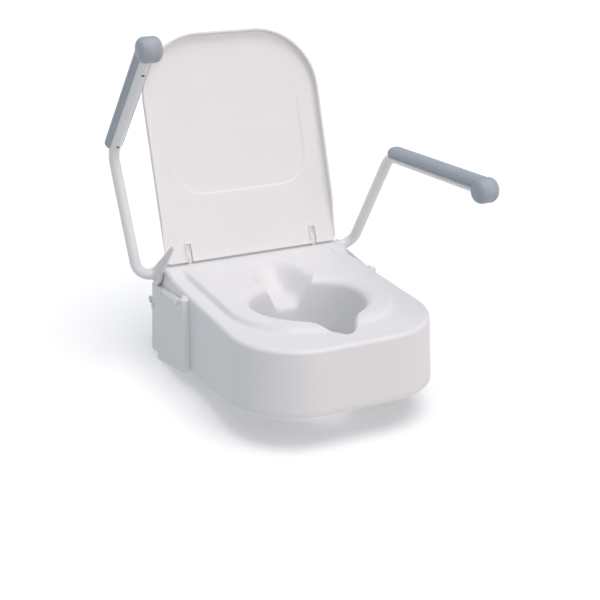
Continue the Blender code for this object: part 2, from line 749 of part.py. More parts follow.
def build_lid():
    hinge = bpy.data.objects.new("lid_hinge", None)
    parts.objects.link(hinge)
    hinge.location = LID_AXIS
    hinge.rotation_euler.x = -LID_OPEN
    lid = finish("lid_shell", loft("lid_shell", lid_rings(), cap=True), WHITE_PLASTIC, hinge)
    solidify(lid, LID_WALL)
    for name, side in SIDES.items():
        inner_face = LID_TOP - LID_WALL
        frame_x = (POST_X - FRAME_HALF_WIDTH, POST_X + FRAME_HALF_WIDTH)
        frame_z = (inner_face - FRAME_PROUD, inner_face + 0.001)
        join(lid, side_box(name + "_frame", side, frame_x, (-FRAME_LENGTH, -0.002), frame_z), hinge)
        x_range = (POST_X - NOTCH_HALF_WIDTH, POST_X + NOTCH_HALF_WIDTH)
        cut(lid, side_box(name + "_notch", side, x_range, (-NOTCH_LENGTH, 0.030), (-0.030, 0.030)), hinge)
        bore = LID_PIN_RADIUS + GAP
        for start in (x_range[0] - EAR_WIDTH, x_range[1]):
            ends = ((side * start, 0.0, 0.0), (side * (start + EAR_WIDTH), 0.0, 0.0))
            join(lid, rod(name + "_ear", *ends, EAR_RADIUS), hinge)
        ends = ((side * 0.090, 0.0, 0.0), (side * 0.165, 0.0, 0.0))
        cut(lid, rod(name + "_ear_bore", *ends, bore), hinge)
        reach = NOTCH_HALF_WIDTH + EAR_WIDTH - 0.001
        pin = rod(
            name + "_lid_pin",
            (side * (POST_X - reach), 0.0, 0.0),
            (side * (POST_X + reach), 0.0, 0.0),
            LID_PIN_RADIUS,
        )
        finish(name + "_lid_pin", pin, ZINC_STEEL, hinge)


def bent_path(corners, radii, steps=6):
    """Straight runs with a round bend at each inner corner."""
    path = [corners[0]]
    for before, corner, after, radius in zip(corners, corners[1:], corners[2:], radii):
        into = (corner - before).normalized()
        out = (after - corner).normalized()
        turn = into.angle(out)
        tangent = radius * math.tan(turn / 2.0)
        centre = corner + (out - into).normalized() * (radius / math.cos(turn / 2.0))
        spoke = corner - into * tangent - centre
        axis = into.cross(out)
        for i in range(steps + 1):
            path.append(centre + Matrix.Rotation(turn * i / steps, 3, axis) @ spoke)
    path.append(corners[-1])
    return path


def tube_mesh(name, path, radius):
    curve = poly_curve(name, path, False)
    curve.dimensions = "3D"
    curve.bevel_depth = radius
    curve.bevel_resolution = 3
    curve.use_fill_caps = True
    return curve_mesh(curve, name)


def lever_outline():
    """Stop lever about the pivot, forward along -Y: its foot and heel end its travel on the ledge."""
    hub = arc((0.0, 0.002), LEVER_HUB_RADIUS, 15.0, 105.0, 7)
    tip = [(0.0017 - LEVER_LENGTH, 0.0085), (-LEVER_LENGTH, 0.0062), (-LEVER_LENGTH, 0.0010)]
    lower = [(-0.0886, -0.0040), (-0.0280, -0.0090)]
    foot = [(-LEVER_FOOT, -ledge_drop(LEVER_FOOT))]
    slope = math.atan(LEVER_LEDGE_SLOPE)
    clear = LEVER_LEDGE_DROP * math.cos(slope) - GAP
    down = 270.0 - math.degrees(slope)
    heel = arc((0.0, 0.0), clear, down, down + math.degrees(ARM_TRAVEL), 8)
    rise = ARM_TRAVEL - slope
    heel.append((heel[-1][0] + HEEL_LENGTH * math.cos(rise), heel[-1][1] + HEEL_LENGTH * math.sin(rise)))
    return hub + tip + lower + foot + heel


def build_arm(prefix, side, raised):
    """One arm: bent tube, hub, stop lever, pivot pin and nut, pad, screws and end knob."""
    pivot = bpy.data.objects.new(prefix + "_arm_pivot", None)
    parts.objects.link(pivot)
    pivot.location = ARM_AXIS
    pivot.rotation_euler.x = -raised

    hub = Vector((side * BEND_X, 0.0, TUBE_OFFSET))
    riser = Vector((0.0, -math.cos(RISER_ANGLE), math.sin(RISER_ANGLE))) * RISER_LENGTH
    elbow = Vector((side * ELBOW_X, riser.y, TUBE_OFFSET + riser.z))
    knob = elbow + Vector((0.0, -PAD_RUN, PAD_RISE))
    start = Vector((side * TUBE_START_X, 0.0, TUBE_OFFSET))
    run = (knob - elbow).normalized()
    up = Vector((0.0, run.z, -run.y))
    across = Vector((1.0, 0.0, 0.0))
    on_pad = Matrix((across, up, -run)).transposed().to_4x4()

    corners = [start, hub, elbow, knob - run * 0.002]
    radii = (HUB_BEND_RADIUS, ELBOW_BEND_RADIUS)
    name = prefix + "_arm_tube"
    tube = finish(name, tube_mesh(name, bent_path(corners, radii), TUBE_RADIUS), WHITE_PAINT, pivot)
    long_corners = [start - Vector((side * 0.010, 0.0, 0.0)), hub, elbow, knob + run * 0.010]
    cut(tube, tube_mesh(name + "_bore", bent_path(long_corners, radii), TUBE_BORE), pivot)

    ellipse = []
    for x, y in arc((0.0, 0.0), 1.0, 0.0, 180.0, 14):
        ellipse.append((x * PAD_HALF_WIDTH, PAD_SHOULDER + y * (PAD_TOP - PAD_SHOULDER)))
    edge = 0.001
    groove = arc((0.0, 0.0), TUBE_RADIUS + GAP, 174.0, 6.0, 12)
    left_foot = [(-PAD_HALF_WIDTH, PAD_BOTTOM + edge), (edge - PAD_HALF_WIDTH, PAD_BOTTOM)]
    right_foot = [(PAD_HALF_WIDTH - edge, PAD_BOTTOM), (PAD_HALF_WIDTH, PAD_BOTTOM + edge)]
    section = ellipse + left_foot + groove + right_foot
    length = (knob - elbow).length - PAD_START
    middle = elbow + run * (PAD_START + length / 2.0)
    name = prefix + "_arm_pad"
    pad = finish(name, plate(name, section, length, Matrix.Translation(middle) @ on_pad), GREY_PAD, pivot)
    reach = Vector((0.040, 0.0, 0.0))
    cut(pad, rod(name + "_end", knob - reach, knob + reach, KNOB_RADIUS + GAP, 32), pivot)

    for label, distance in PAD_SCREWS.items():
        base = elbow + run * distance
        hole = rod(name + "_hole", base - up * 0.020, base + up * 0.0173, SCREW_RADIUS + GAP, 12)
        cut(pad, hole, pivot)
        cut(tube, hole.copy(), pivot)
        head = -TUBE_RADIUS - GAP
        profile = [
            (0.0, 0.017),
            (SCREW_RADIUS, 0.017),
            (SCREW_RADIUS, head),
            (SCREW_HEAD_RADIUS, head),
            (SCREW_HEAD_RADIUS - 0.001, head - SCREW_HEAD_HEIGHT),
            (0.0, head - SCREW_HEAD_HEIGHT),
        ]
        upright = Matrix((across, -run, up)).transposed().to_4x4()
        place = Matrix.Translation(base) @ upright
        turned(f"{prefix}_pad_screw_{label}", profile, ZINC_STEEL, place, pivot, False, 12)

    flat = KNOB_HALF_WIDTH - KNOB_ROUND
    barrel = KNOB_RADIUS - KNOB_ROUND
    profile = [(0.0, KNOB_HALF_WIDTH)]
    profile += arc((barrel, flat), KNOB_ROUND, 90.0, 0.0, 4)
    profile += arc((barrel, -flat), KNOB_ROUND, 0.0, -90.0, 4)
    profile += [(0.0, -KNOB_HALF_WIDTH)]
    name = prefix + "_end_knob"
    cap = turned(name, profile, GREY_PAD, along_x(side, knob), pivot, False, 24)
    socket = rod(name + "_socket", knob - run * 0.040, knob + run * 0.001, TUBE_RADIUS + GAP, 16)
    cut(cap, socket, pivot)

    name = prefix + "_stop_lever"
    lever_mesh = side_plate(name, side, lever_outline(), LEVER_INNER_X, LEVER_OUTER_X)
    lever = finish(name, lever_mesh, WHITE_PLASTIC, pivot)
    ends = ((side * 0.180, 0.0, 0.0), (side * 0.220, 0.0, 0.0))
    cut(lever, rod(name + "_bore", *ends, PIVOT_PIN_RADIUS + GAP), pivot)

    collar_start = LEVER_OUTER_X + GAP
    bore = TUBE_RADIUS + GAP
    collar = [
        (0.0116, collar_start + 0.0060),
        (0.0128, collar_start + 0.0020),
        (0.0128, collar_start),
        (bore, collar_start),
        (bore, collar_start + 0.0060),
    ]
    hub_place = along_x(side, Vector((0.0, 0.0, TUBE_OFFSET)))
    turned(prefix + "_arm_collar", collar, WHITE_PLASTIC, hub_place, pivot)

    name = prefix + "_pivot_pin"
    ends = ((side * 0.1415, 0.0, 0.0), (side * (LEVER_OUTER_X - GAP), 0.0, 0.0))
    finish(name, rod(name, *ends, PIVOT_PIN_RADIUS), ZINC_STEEL, pivot)
    nut = ring_profile(hex_bore(PIVOT_PIN_RADIUS), 0.0080, 0.1430, 0.1525)
    turned(prefix + "_pivot_nut", nut, ZINC_STEEL, along_x(side), pivot, segments=HEX_SIDES)


def build_bracket():
    """Base plate with a fork at each end that holds the seat's height rail."""
    wide = FORK_FACE_X - 0.003
    base = box("base", (-wide, BASE_FRONT_Y, 0.0), (wide, BASE_REAR_Y, BASE_THICKNESS))
    bracket = finish("mounting_bracket", base, WHITE_PLASTIC, smooth=False)
    rear_jaw = RAIL_LENGTH_Y + 0.002
    for name, side in SIDES.items():
        fork = [
            (side * FORK_INNER_X, -0.012),
            (side * FORK_TIP_X, -0.012),
            (side * FORK_TIP_X, -0.002),
            (side * FORK_FACE_X, -0.002),
            (side * FORK_FACE_X, rear_jaw),
            (side * FORK_TIP_X, rear_jaw),
            (side * FORK_TIP_X, rear_jaw + 0.006),
            (side * FORK_INNER_X, rear_jaw + 0.006),
        ]
        place = Matrix.Translation((0.0, 0.0, FORK_HEIGHT / 2.0))
        join(bracket, plate(name + "_fork", fork, FORK_HEIGHT, place))
        x = side * FIXING_X
        reach = FIXING_SLOT
        width = BOLT_RADIUS + 0.0006
        slot = arc((x + reach, 0.0), width, -90.0, 90.0, 8) + arc((x - reach, 0.0), width, 90.0, 270.0, 8)
        cut(bracket, plate(name + "_slot", slot, 0.040, Matrix.Identity(4)))
        ends = ((side * 0.150, LATCH_Y, LATCH_Z), (side * 0.190, LATCH_Y, LATCH_Z))
        cut(bracket, rod(name + "_latch_hole", *ends, LATCH_RADIUS + 0.0004))


def build_fixing(prefix, side):
    """Bolt, washer, rubber cone and wing nut that clamp the bracket to the rim."""
    place = Matrix.Translation((side * FIXING_X, 0.0, 0.0))
    bore = BOLT_RADIUS + GAP
    washer_bottom = BASE_THICKNESS + GAP
    washer_top = washer_bottom + 0.0018
    washer = ring_profile(bore, 0.012, washer_bottom, washer_top)
    turned(prefix + "_fixing_washer", washer, ZINC_STEEL, place)
    head = washer_top + GAP
    bolt = [
        (0.0, head + 0.0055),
        (0.0070, head + 0.0055),
        (0.0085, head + 0.0035),
        (0.0085, head),
        (BOLT_RADIUS, head),
        (BOLT_RADIUS, -BOLT_LENGTH),
        (0.0, -BOLT_LENGTH),
    ]
    turned(prefix + "_fixing_bolt", bolt, ZINC_STEEL, place, closed=False, segments=16)
    cone = [(0.009, -0.018), (0.015, -0.030), (bore, -0.030), (bore, -0.018)]
    turned(prefix + "_rubber_cone", cone, BLACK_RUBBER, place, segments=16)
    hub = [(0.010, -0.030 - GAP), (0.010, -0.034), (0.007, -0.044), (bore, -0.044), (bore, -0.030 - GAP)]
    nut = turned(prefix + "_wing_nut", hub, GREY_NYLON, place, segments=16)
    for wing in (-1.0, 1.0):
        near = side * FIXING_X + wing * 0.0060
        far = side * FIXING_X + wing * 0.0200
        xs = sorted((near, far))
        join(nut, box(prefix + "_wing", (xs[0], -0.0020, -0.0480), (xs[1], 0.0020, -0.0330)))


def build_latch(name, side):
    """Height latch: bolt, arm round the bracket's end, and the thumb tab behind the cheek."""
    z_range = (LATCH_Z - 0.0045, LATCH_Z + 0.0045)
    arm = side_box(name, side, (0.150, 0.158), (LATCH_Y - 0.005, 0.0545), z_range)
    latch = finish(name, arm, WHITE_PLASTIC, smooth=False)
    tip = side * (RAIL_INNER_X - GAP)
    root = side * 0.152
    join(latch, rod(name + "_bolt", (root, LATCH_Y, LATCH_Z), (tip, LATCH_Y, LATCH_Z), LATCH_RADIUS))
    bar_z = (z_range[0] + 0.0002, z_range[1] - 0.0002)
    join(latch, side_box(name + "_bar", side, (0.1502, 0.2000), (0.0472, 0.0543), bar_z))
    upright_z = (bar_z[0], TAB_LOW_Z + 0.001)
    join(latch, side_box(name + "_upright", side, (0.1880, 0.1980), (0.0474, 0.0541), upright_z))
    join(latch, side_box(name + "_tab", side, (0.1878, 0.2035), (0.0470, 0.0575), (TAB_LOW_Z, TAB_HIGH_Z)))


build_bracket()
build_seat_shell()
build_lid()
for label, direction in SIDES.items():
    build_fixing(label, direction)
    build_latch(label + "_height_latch", direction)
    build_cheek(label + "_side_cheek", direction)
    build_rail(label + "_height_rail", direction)
    wall_head = SEAT_HALF_WIDTH - SEAT_WALL - GAP - SCREW_HEAD_HEIGHT
    build_screw(label + "_cheek_screw", direction, wall_head, SCREW_TIP_X, FRONT_SCREW_Y, FRONT_SCREW_Z)
    build_pivot_seat(label, direction)
    build_lid_post(label, direction)
    build_front_foot(label, direction)
build_arm("left", SIDES["left"], LEFT_ARM_RAISED)
build_arm("right", SIDES["right"], 0.0)
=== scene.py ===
# %% [markdown]
# # A raised toilet seat with a lid and two fold-up arms
#
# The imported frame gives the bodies, the joints and a plain solid for every piece. This lesson models the
# finished pieces over those solids, one at a time. Everything is in metres, +Z is up, +Y points to the
# rear and +X to the picture's right. A finished piece keeps its object at the origin and its place in its
# mesh, so that a material on Object coordinates lies the same way wherever the piece is used.

# %% Load the frame
import json
import math

import bmesh
import bpy
from mathutils import Matrix, Vector


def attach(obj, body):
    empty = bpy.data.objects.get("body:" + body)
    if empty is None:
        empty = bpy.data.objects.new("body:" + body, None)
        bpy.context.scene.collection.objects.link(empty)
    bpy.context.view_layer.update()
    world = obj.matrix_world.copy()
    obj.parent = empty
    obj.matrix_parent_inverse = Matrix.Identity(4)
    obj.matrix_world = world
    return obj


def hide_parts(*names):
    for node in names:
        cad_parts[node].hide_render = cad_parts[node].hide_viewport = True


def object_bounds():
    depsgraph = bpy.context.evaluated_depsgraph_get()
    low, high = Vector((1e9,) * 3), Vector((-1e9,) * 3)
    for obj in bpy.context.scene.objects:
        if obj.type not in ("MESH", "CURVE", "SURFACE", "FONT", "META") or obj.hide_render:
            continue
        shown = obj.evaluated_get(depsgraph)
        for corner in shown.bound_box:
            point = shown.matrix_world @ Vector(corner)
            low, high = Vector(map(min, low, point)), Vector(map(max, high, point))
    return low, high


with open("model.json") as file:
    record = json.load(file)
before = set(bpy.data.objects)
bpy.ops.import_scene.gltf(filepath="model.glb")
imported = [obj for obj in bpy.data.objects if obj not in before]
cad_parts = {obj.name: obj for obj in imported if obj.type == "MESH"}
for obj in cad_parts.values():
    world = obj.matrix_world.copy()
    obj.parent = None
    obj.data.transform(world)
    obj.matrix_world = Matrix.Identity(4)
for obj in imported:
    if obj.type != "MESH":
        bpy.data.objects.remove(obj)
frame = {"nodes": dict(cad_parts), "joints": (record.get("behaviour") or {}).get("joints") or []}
cad_low, cad_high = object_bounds()
bpy.ops.object.select_all(action="DESELECT")
axis_at = {joint["name"]: Vector(joint["pos_m"]) for joint in frame["joints"] if "pos_m" in joint}
print("nodes:", len(frame["nodes"]), "axes:", {name: tuple(place) for name, place in axis_at.items()})

# %% [markdown]
# ## Camera
#
# The picture was taken from the front left, from above the lid, with a long lens. The camera's place
# and turn were worked out from corners whose real places are known, such as the ends of the arms. A camera
# in Blender looks along its own -Z, so it is first stood up by a quarter turn, less the downward tilt.

# %% Set the camera
EYE = Vector((-0.9426, -2.1113, 0.9684))
YAW = math.radians(26.40)
DOWNWARD_TILT = math.radians(22.29)
ROLL = math.radians(0.77)
LENS_MM = 73.7
SENSOR_MM = 36.0

bpy.ops.object.camera_add()
camera = bpy.context.object
camera.name = "photo_camera"
camera.data.lens = LENS_MM
camera.data.sensor_width = SENSOR_MM
stand_up = Matrix.Rotation(math.pi / 2.0 - DOWNWARD_TILT, 4, "X")
camera.matrix_world = (
    Matrix.Translation(EYE) @ Matrix.Rotation(-YAW, 4, "Z") @ stand_up @ Matrix.Rotation(ROLL, 4, "Z")
)
bpy.context.scene.camera = camera
print("camera at", tuple(EYE))

# %% [markdown]
# ## Light and floor
#
# White plastic shows its shape only by its shading, so the light matters as much as the mesh. A broad lamp
# overhead, a little to the right and the front, lights the top, a weaker and warmer one low in front lights
# the front and the lid, and an even, cool sky fills the rest: the left sides then fall into a cool grey.
# Both lamps are suns with a wide angle, which light the floor evenly and still cast soft shadows. The floor
# is a plain pale plane at the lowest point of the part, and a pale ball round everything is the backdrop.
# Neither throws light back on the part, because a white floor so close below would wash out its shaded sides.

# %% Light and floor
FLOOR_SIZE = 100.0
BACKDROP_RADIUS = 45.0
FLOOR_TONE = (0.93, 0.925, 0.925, 1.0)
FLOOR_GLOW = 0.20
FLOOR_ROUGHNESS = 0.9
BACKDROP_GLOW = 1.1
SKY_TONE = (0.490, 0.520, 0.545, 1.0)
LIGHTS = {
    "soft_key": {
        "towards": (0.14, -0.20, 0.95),
        "strength": 1.34,
        "tone": (1.0, 0.955, 0.975),
        "spread": 45,
    },
    "warm_front": {
        "towards": (0.30, -0.92, 0.22),
        "strength": 0.80,
        "tone": (1.0, 0.76, 0.71),
        "spread": 60,
    },
}

scene = bpy.context.scene
scene.view_settings.view_transform = "Standard"
scene.world = bpy.data.worlds.new("pale_sky")
scene.world.use_nodes = True
sky = scene.world.node_tree.nodes["Background"]
sky.inputs["Color"].default_value = SKY_TONE
sky.inputs["Strength"].default_value = 1.0

for name, light in LIGHTS.items():
    bpy.ops.object.light_add(type="SUN")
    lamp = bpy.context.object
    lamp.name = name
    lamp.data.energy = light["strength"]
    lamp.data.color = light["tone"]
    lamp.data.angle = math.radians(light["spread"])
    lamp.rotation_euler = Vector(light["towards"]).to_track_quat("Z", "Y").to_euler()

bpy.ops.object.select_all(action="DESELECT")
bpy.ops.mesh.primitive_plane_add(size=FLOOR_SIZE, location=(0.0, 0.0, cad_low.z))
bpy.ops.object.transform_apply(location=True)
floor = bpy.context.object
floor.name = "floor"
floor_paint = bpy.data.materials.new("pale_floor")
floor_paint.use_nodes = True
floor_shader = floor_paint.node_tree.nodes["Principled BSDF"]
floor_shader.inputs["Base Color"].default_value = FLOOR_TONE
floor_shader.inputs["Roughness"].default_value = FLOOR_ROUGHNESS
floor_shader.inputs["Emission Color"].default_value = FLOOR_TONE
floor_shader.inputs["Emission Strength"].default_value = FLOOR_GLOW
floor.data.materials.append(floor_paint)
floor.visible_diffuse = False

bpy.ops.object.select_all(action="DESELECT")
bpy.ops.mesh.primitive_uv_sphere_add(radius=BACKDROP_RADIUS)
backdrop = bpy.context.object
backdrop.name = "backdrop"
backdrop_paint = bpy.data.materials.new("pale_backdrop")
backdrop_paint.use_nodes = True
backdrop_shader = backdrop_paint.node_tree.nodes["Principled BSDF"]
backdrop_shader.inputs["Base Color"].default_value = (0.0, 0.0, 0.0, 1.0)
backdrop_shader.inputs["Specular IOR Level"].default_value = 0.0
backdrop_shader.inputs["Emission Color"].default_value = FLOOR_TONE
backdrop_shader.inputs["Emission Strength"].default_value = BACKDROP_GLOW
backdrop.data.materials.append(backdrop_paint)
backdrop.visible_diffuse = False
backdrop.visible_glossy = False
backdrop.visible_shadow = False
print("floor at", round(cad_low.z, 4))

# %% [markdown]
# ## Writing shaders as sums
#
# A finish is a small network of nodes. Wiring them by hand hides the idea, so a socket is wrapped in a
# class that understands plus, minus and times: each sum adds a Math node. Every other node comes from one
# method that sets the node up first and then fills its sockets, with a number or with another socket.

# %% Sockets that add up
class Tone:
    """A shader socket that can stand in a Python sum."""

    def __init__(self, finish, socket):
        self.finish = finish
        self.socket = socket

    def worked(self, operation, first, second):
        return self.finish.node("ShaderNodeMath", {"operation": operation}, {0: first, 1: second})

    def __add__(self, other):
        return self.worked("ADD", self, other)

    def __radd__(self, other):
        return self.worked("ADD", other, self)

    def __sub__(self, other):
        return self.worked("SUBTRACT", self, other)

    def __rsub__(self, other):
        return self.worked("SUBTRACT", other, self)

    def __mul__(self, other):
        return self.worked("MULTIPLY", self, other)

    def __rmul__(self, other):
        return self.worked("MULTIPLY", other, self)


class Finish:
    """One material and the record's slot that it belongs to."""

    def __init__(self, name, slot):
        self.slot = slot
        self.material = bpy.data.materials.new(name)
        self.material.use_nodes = True
        self.tree = self.material.node_tree
        self.shader = self.tree.nodes["Principled BSDF"]
        self.place = self.node("ShaderNodeTexCoord", output="Object")

    def node(self, kind, settings=None, sockets=None, output=0):
        made = self.tree.nodes.new(kind)
        for key, value in (settings or {}).items():
            setattr(made, key, value)
        for key, value in (sockets or {}).items():
            self.fill(made.inputs[key], value)
        return Tone(self, made.outputs[output])

    def fill(self, socket, value):
        if isinstance(value, Tone):
            self.tree.links.new(value.socket, socket)
        else:
            socket.default_value = value

    def shade(self, sockets):
        for key, value in sockets.items():
            self.fill(self.shader.inputs[key], value)

    def noise(self, scale, detail=2.0, roughness=0.5, stretch=(1.0, 1.0, 1.0)):
        place = self.place
        if stretch != (1.0, 1.0, 1.0):
            place = self.node("ShaderNodeMapping", {}, {"Vector": place, "Scale": stretch})
        sockets = {"Vector": place, "Scale": scale, "Detail": detail, "Roughness": roughness}
        return self.node("ShaderNodeTexNoise", {}, sockets)

    def mix(self, share, first, second):
        sockets = {0: share, 6: (*first, 1.0), 7: (*second, 1.0)}
        return self.node("ShaderNodeMix", {"data_type": "RGBA"}, sockets, 2)

    def bump(self, height, depth, strength):
        return self.node("ShaderNodeBump", {}, {"Height": height, "Distance": depth, "Strength": strength})


print("shader sums ready")

# %% [markdown]
# ## Moulded white plastic
#
# The seat, lid, cheeks and levers are moulded in a white plastic with a fine satin grain, which comes from
# the spark-eroded mould. Under a lamp it is never quite even: the tone drifts a little where the melt
# cooled at different rates, and the gloss drifts with it. One slow noise gives the drift in both, and one
# fine noise, under a millimetre across, gives the grain in the gloss and in the bump.

# %% White plastic
def moulded_white(name, dark, light, gloss):
    """Satin plastic whose tone and gloss drift slowly, with a fine mould grain."""
    finish = Finish(name, "white_plastic")
    drift = finish.noise(9.0, 3.0)
    grain = finish.noise(1500.0, 2.0, 0.6)
    finish.shade({
        "Base Color": finish.mix(drift, dark, light),
        "Roughness": gloss + 0.08 * drift + 0.10 * grain,
        "Normal": finish.bump(grain, 0.00012, 0.35),
        "Specular IOR Level": 0.45,
    })
    return finish


SEAT_WHITE = moulded_white("seat_white", (0.785, 0.780, 0.787), (0.825, 0.818, 0.825), 0.30)
# The lid's copy of the white is a touch lighter than the seat's: painted light that stands in for light on
# the lid, not a different plastic.
LID_WHITE_PAINTED_LIGHT = moulded_white("lid_white_painted_light", (0.80, 0.80, 0.80), (0.84, 0.84, 0.84), 0.32)
CHEEK_WHITE = moulded_white("cheek_white", (0.785, 0.78, 0.78), (0.825, 0.82, 0.82), 0.34)
print("plastics:", SEAT_WHITE.material.name, LID_WHITE_PAINTED_LIGHT.material.name, CHEEK_WHITE.material.name)

# %% [markdown]
# ## Powder coat, grey pads, nylon, rubber and zinc
#
# The steel tubes carry a white powder coat, which melts into a skin with a slight orange peel. The pads
# and knobs are a blue-grey integral foam with a pebbled skin: a cell pattern makes the pebbles, and the
# valleys between them are painted a little darker, as painted shade. Nylon is dull and even, rubber is
# dusty, and the zinc on the screws has the drifting sheen and fine scratches of plated steel. The pads'
# screws are given a near-black zinc: painted shade for the recesses that their heads sit in.

# %% The other finishes
def powder_coat():
    finish = Finish("powder_coat", "white_paint")
    drift = finish.noise(14.0, 2.0)
    peel = finish.noise(420.0, 1.0)
    finish.shade({
        "Base Color": finish.mix(drift, (0.82, 0.82, 0.825), (0.86, 0.86, 0.86)),
        "Roughness": 0.24 + 0.10 * peel,
        "Normal": finish.bump(peel, 0.00025, 0.30),
    })
    return finish


def pebbled_foam():
    finish = Finish("pebbled_foam", "grey_pad")
    drift = finish.noise(11.0, 3.0)
    cell = finish.node("ShaderNodeTexVoronoi", {}, {"Vector": finish.place, "Scale": 900.0})
    fine = finish.noise(2600.0, 2.0)
    pebble = 1.0 - cell * cell
    finish.shade({
        # The pebble pattern darkens the valleys in the base colour: painted shade in the grain, on top of the
        # random drift.
        "Base Color": finish.mix(0.45 * drift + 0.55 * pebble, (0.325, 0.365, 0.410), (0.428, 0.468, 0.515)),
        "Roughness": 0.38 + 0.10 * drift + 0.08 * fine,
        "Normal": finish.bump(pebble + 0.25 * fine, 0.0002, 0.40),
    })
    return finish


def dull_nylon():
    finish = Finish("dull_nylon", "grey_nylon")
    drift = finish.noise(40.0, 3.0)
    grain = finish.noise(1800.0)
    finish.shade({
        "Base Color": finish.mix(drift, (0.50, 0.52, 0.53), (0.59, 0.61, 0.62)),
        "Roughness": 0.40 + 0.12 * grain,
        "Normal": finish.bump(grain, 0.0001, 0.30),
    })
    return finish


def dusty_rubber():
    finish = Finish("dusty_rubber", "black_rubber")
    dust = finish.noise(70.0, 4.0, 0.65)
    grain = finish.noise(1200.0)
    finish.shade({
        "Base Color": finish.mix(dust, (0.018, 0.018, 0.019), (0.060, 0.058, 0.056)),
        "Roughness": 0.70 + 0.20 * dust,
        "Normal": finish.bump(grain, 0.0002, 0.40),
    })
    return finish


def zinc_plate(name, dark, light):
    finish = Finish(name, "zinc_steel")
    sheen = finish.noise(90.0, 3.0)
    scratch = finish.noise(500.0, 3.0, 0.6, (1.0, 1.0, 0.12))
    finish.shade({
        "Base Color": finish.mix(sheen, dark, light),
        "Metallic": 1.0,
        "Roughness": 0.22 + 0.22 * scratch,
        "Normal": finish.bump(scratch, 0.00008, 0.35),
    })
    return finish


POWDER_COAT = powder_coat()
PAD_FOAM = pebbled_foam()
NYLON = dull_nylon()
RUBBER = dusty_rubber()
ZINC = zinc_plate("zinc_plate", (0.52, 0.53, 0.56), (0.66, 0.65, 0.62))
# A near-black zinc for the pad screws: painted shade, which stands in for the shadow in the recesses their
# heads sit in.
PAINTED_SHADE_ZINC = zinc_plate("painted_shade_zinc", (0.09, 0.09, 0.10), (0.15, 0.15, 0.16))
print("finishes:", len(bpy.data.materials))

# %% [markdown]
# ## Working by hand, in code
#
# Three small habits carry the rest of the lesson. Before an operator runs, everything else is deselected.
# A wall is drawn up by extruding a ring of edges from one place to the next, and each corner carries its
# number so that the new ring can be laid on the right points. A modifier is applied as soon as it is set.

# %% Hand tools
SMOOTH_ANGLE = math.radians(32.0)
WELD = 0.000002


def pick(piece):
    """Makes one piece the only one selected."""
    if bpy.context.mode != "OBJECT":
        bpy.ops.object.mode_set(mode="OBJECT")
    bpy.ops.object.select_all(action="DESELECT")
    if piece:
        piece.select_set(True)
        bpy.context.view_layer.objects.active = piece


def edge_ring(name, points):
    """A ring of edges on the given points, open in edit mode, with its corners numbered."""
    pick(None)
    bpy.ops.mesh.primitive_circle_add(vertices=len(points), radius=0.1, fill_type="NOTHING")
    piece = bpy.context.object
    piece.name = name
    piece.data.name = name
    bpy.ops.object.mode_set(mode="EDIT")
    shape = bmesh.from_edit_mesh(piece.data)
    number = shape.verts.layers.int.new("number")
    for order, corner in enumerate(shape.verts):
        corner[number] = order
    lay_selected(piece, points)
    return piece


def lay_selected(piece, points):
    """Lays each selected corner on the point that has its number."""
    shape = bmesh.from_edit_mesh(piece.data)
    number = shape.verts.layers.int["number"]
    for corner in shape.verts:
        if corner.select:
            corner.co = points[corner[number]]
    bmesh.update_edit_mesh(piece.data)


def close_up(piece):
    """Welds doubles, turns the faces outward and leaves edit mode."""
    bpy.ops.mesh.select_all(action="SELECT")
    bpy.ops.mesh.remove_doubles(threshold=WELD)
    bpy.ops.mesh.normals_make_consistent(inside=False)
    bpy.ops.object.mode_set(mode="OBJECT")
    piece.data.attributes.remove(piece.data.attributes["number"])
    return piece


def loft(name, rings, capped=True):
    """Extrudes a ring of edges from place to place, with a face at each end if capped."""
    piece = edge_ring(name, rings[0])
    if capped:
        bpy.ops.mesh.edge_face_add()
    for ring in rings[1:]:
        bpy.ops.mesh.extrude_region()
        lay_selected(piece, ring)
    return close_up(piece)


def apply_modifier(piece, kind, **settings):
    """Adds a modifier, sets it and applies it."""
    pick(piece)
    step = piece.modifiers.new(kind.lower(), kind)
    for key, value in settings.items():
        setattr(step, key, value)
    bpy.ops.object.modifier_apply(modifier=step.name)


def soften(piece, width, segments=3, angle=math.radians(35.0)):
    """Rounds the sharp edges of a piece."""
    apply_modifier(piece, "BEVEL", width=width, segments=segments, limit_method="ANGLE", angle_limit=angle)


def soften_outer(piece, width, beyond, segments=3):
    """Rounds only the edges that lie further out along X than a given distance."""
    weight = piece.data.attributes.new("bevel_weight_edge", "FLOAT", "EDGE")
    corners = piece.data.vertices
    for edge in piece.data.edges:
        if all(corners[number].co.x > beyond for number in edge.vertices):
            weight.data[edge.index].value = 1.0
    apply_modifier(piece, "BEVEL", width=width, segments=segments, limit_method="WEIGHT")


def dress(piece, finish, body, *nodes):
    """Shades a finished piece, gives it its material and hangs it on its body."""
    pick(piece)
    bpy.ops.object.shade_smooth_by_angle(angle=SMOOTH_ANGLE)
    piece.data.materials.clear()
    piece.data.materials.append(finish.material)
    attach(piece, body)
    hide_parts(*nodes)
    print(piece.name, "on", body, "faces:", len(piece.data.polygons))


print("hand tools ready")

# %% [markdown]
# ## Outline of the seat
#
# Seen from above, the seat has a straight back, straight sides and one big round at each front corner. The
# outline is drawn as one half and mirrored, always with the same number of points, so that a ring drawn
# further in matches the outer one point for point.

# %% Outline of the seat
SEAT_TOP = 0.110
SEAT_HALF_WIDTH = 0.1925
SEAT_FRONT = -0.450
SEAT_REAR = 0.045
SEAT_FRONT_ROUND = 0.126
SEAT_REAR_ROUND = 0.010
LEAST_REAR_ROUND = 0.002
REAR_STEPS = 16
REAR_CORNER_STEPS = 8
SIDE_STEPS = 34
FRONT_CORNER_STEPS = 36
FRONT_STEPS = 12


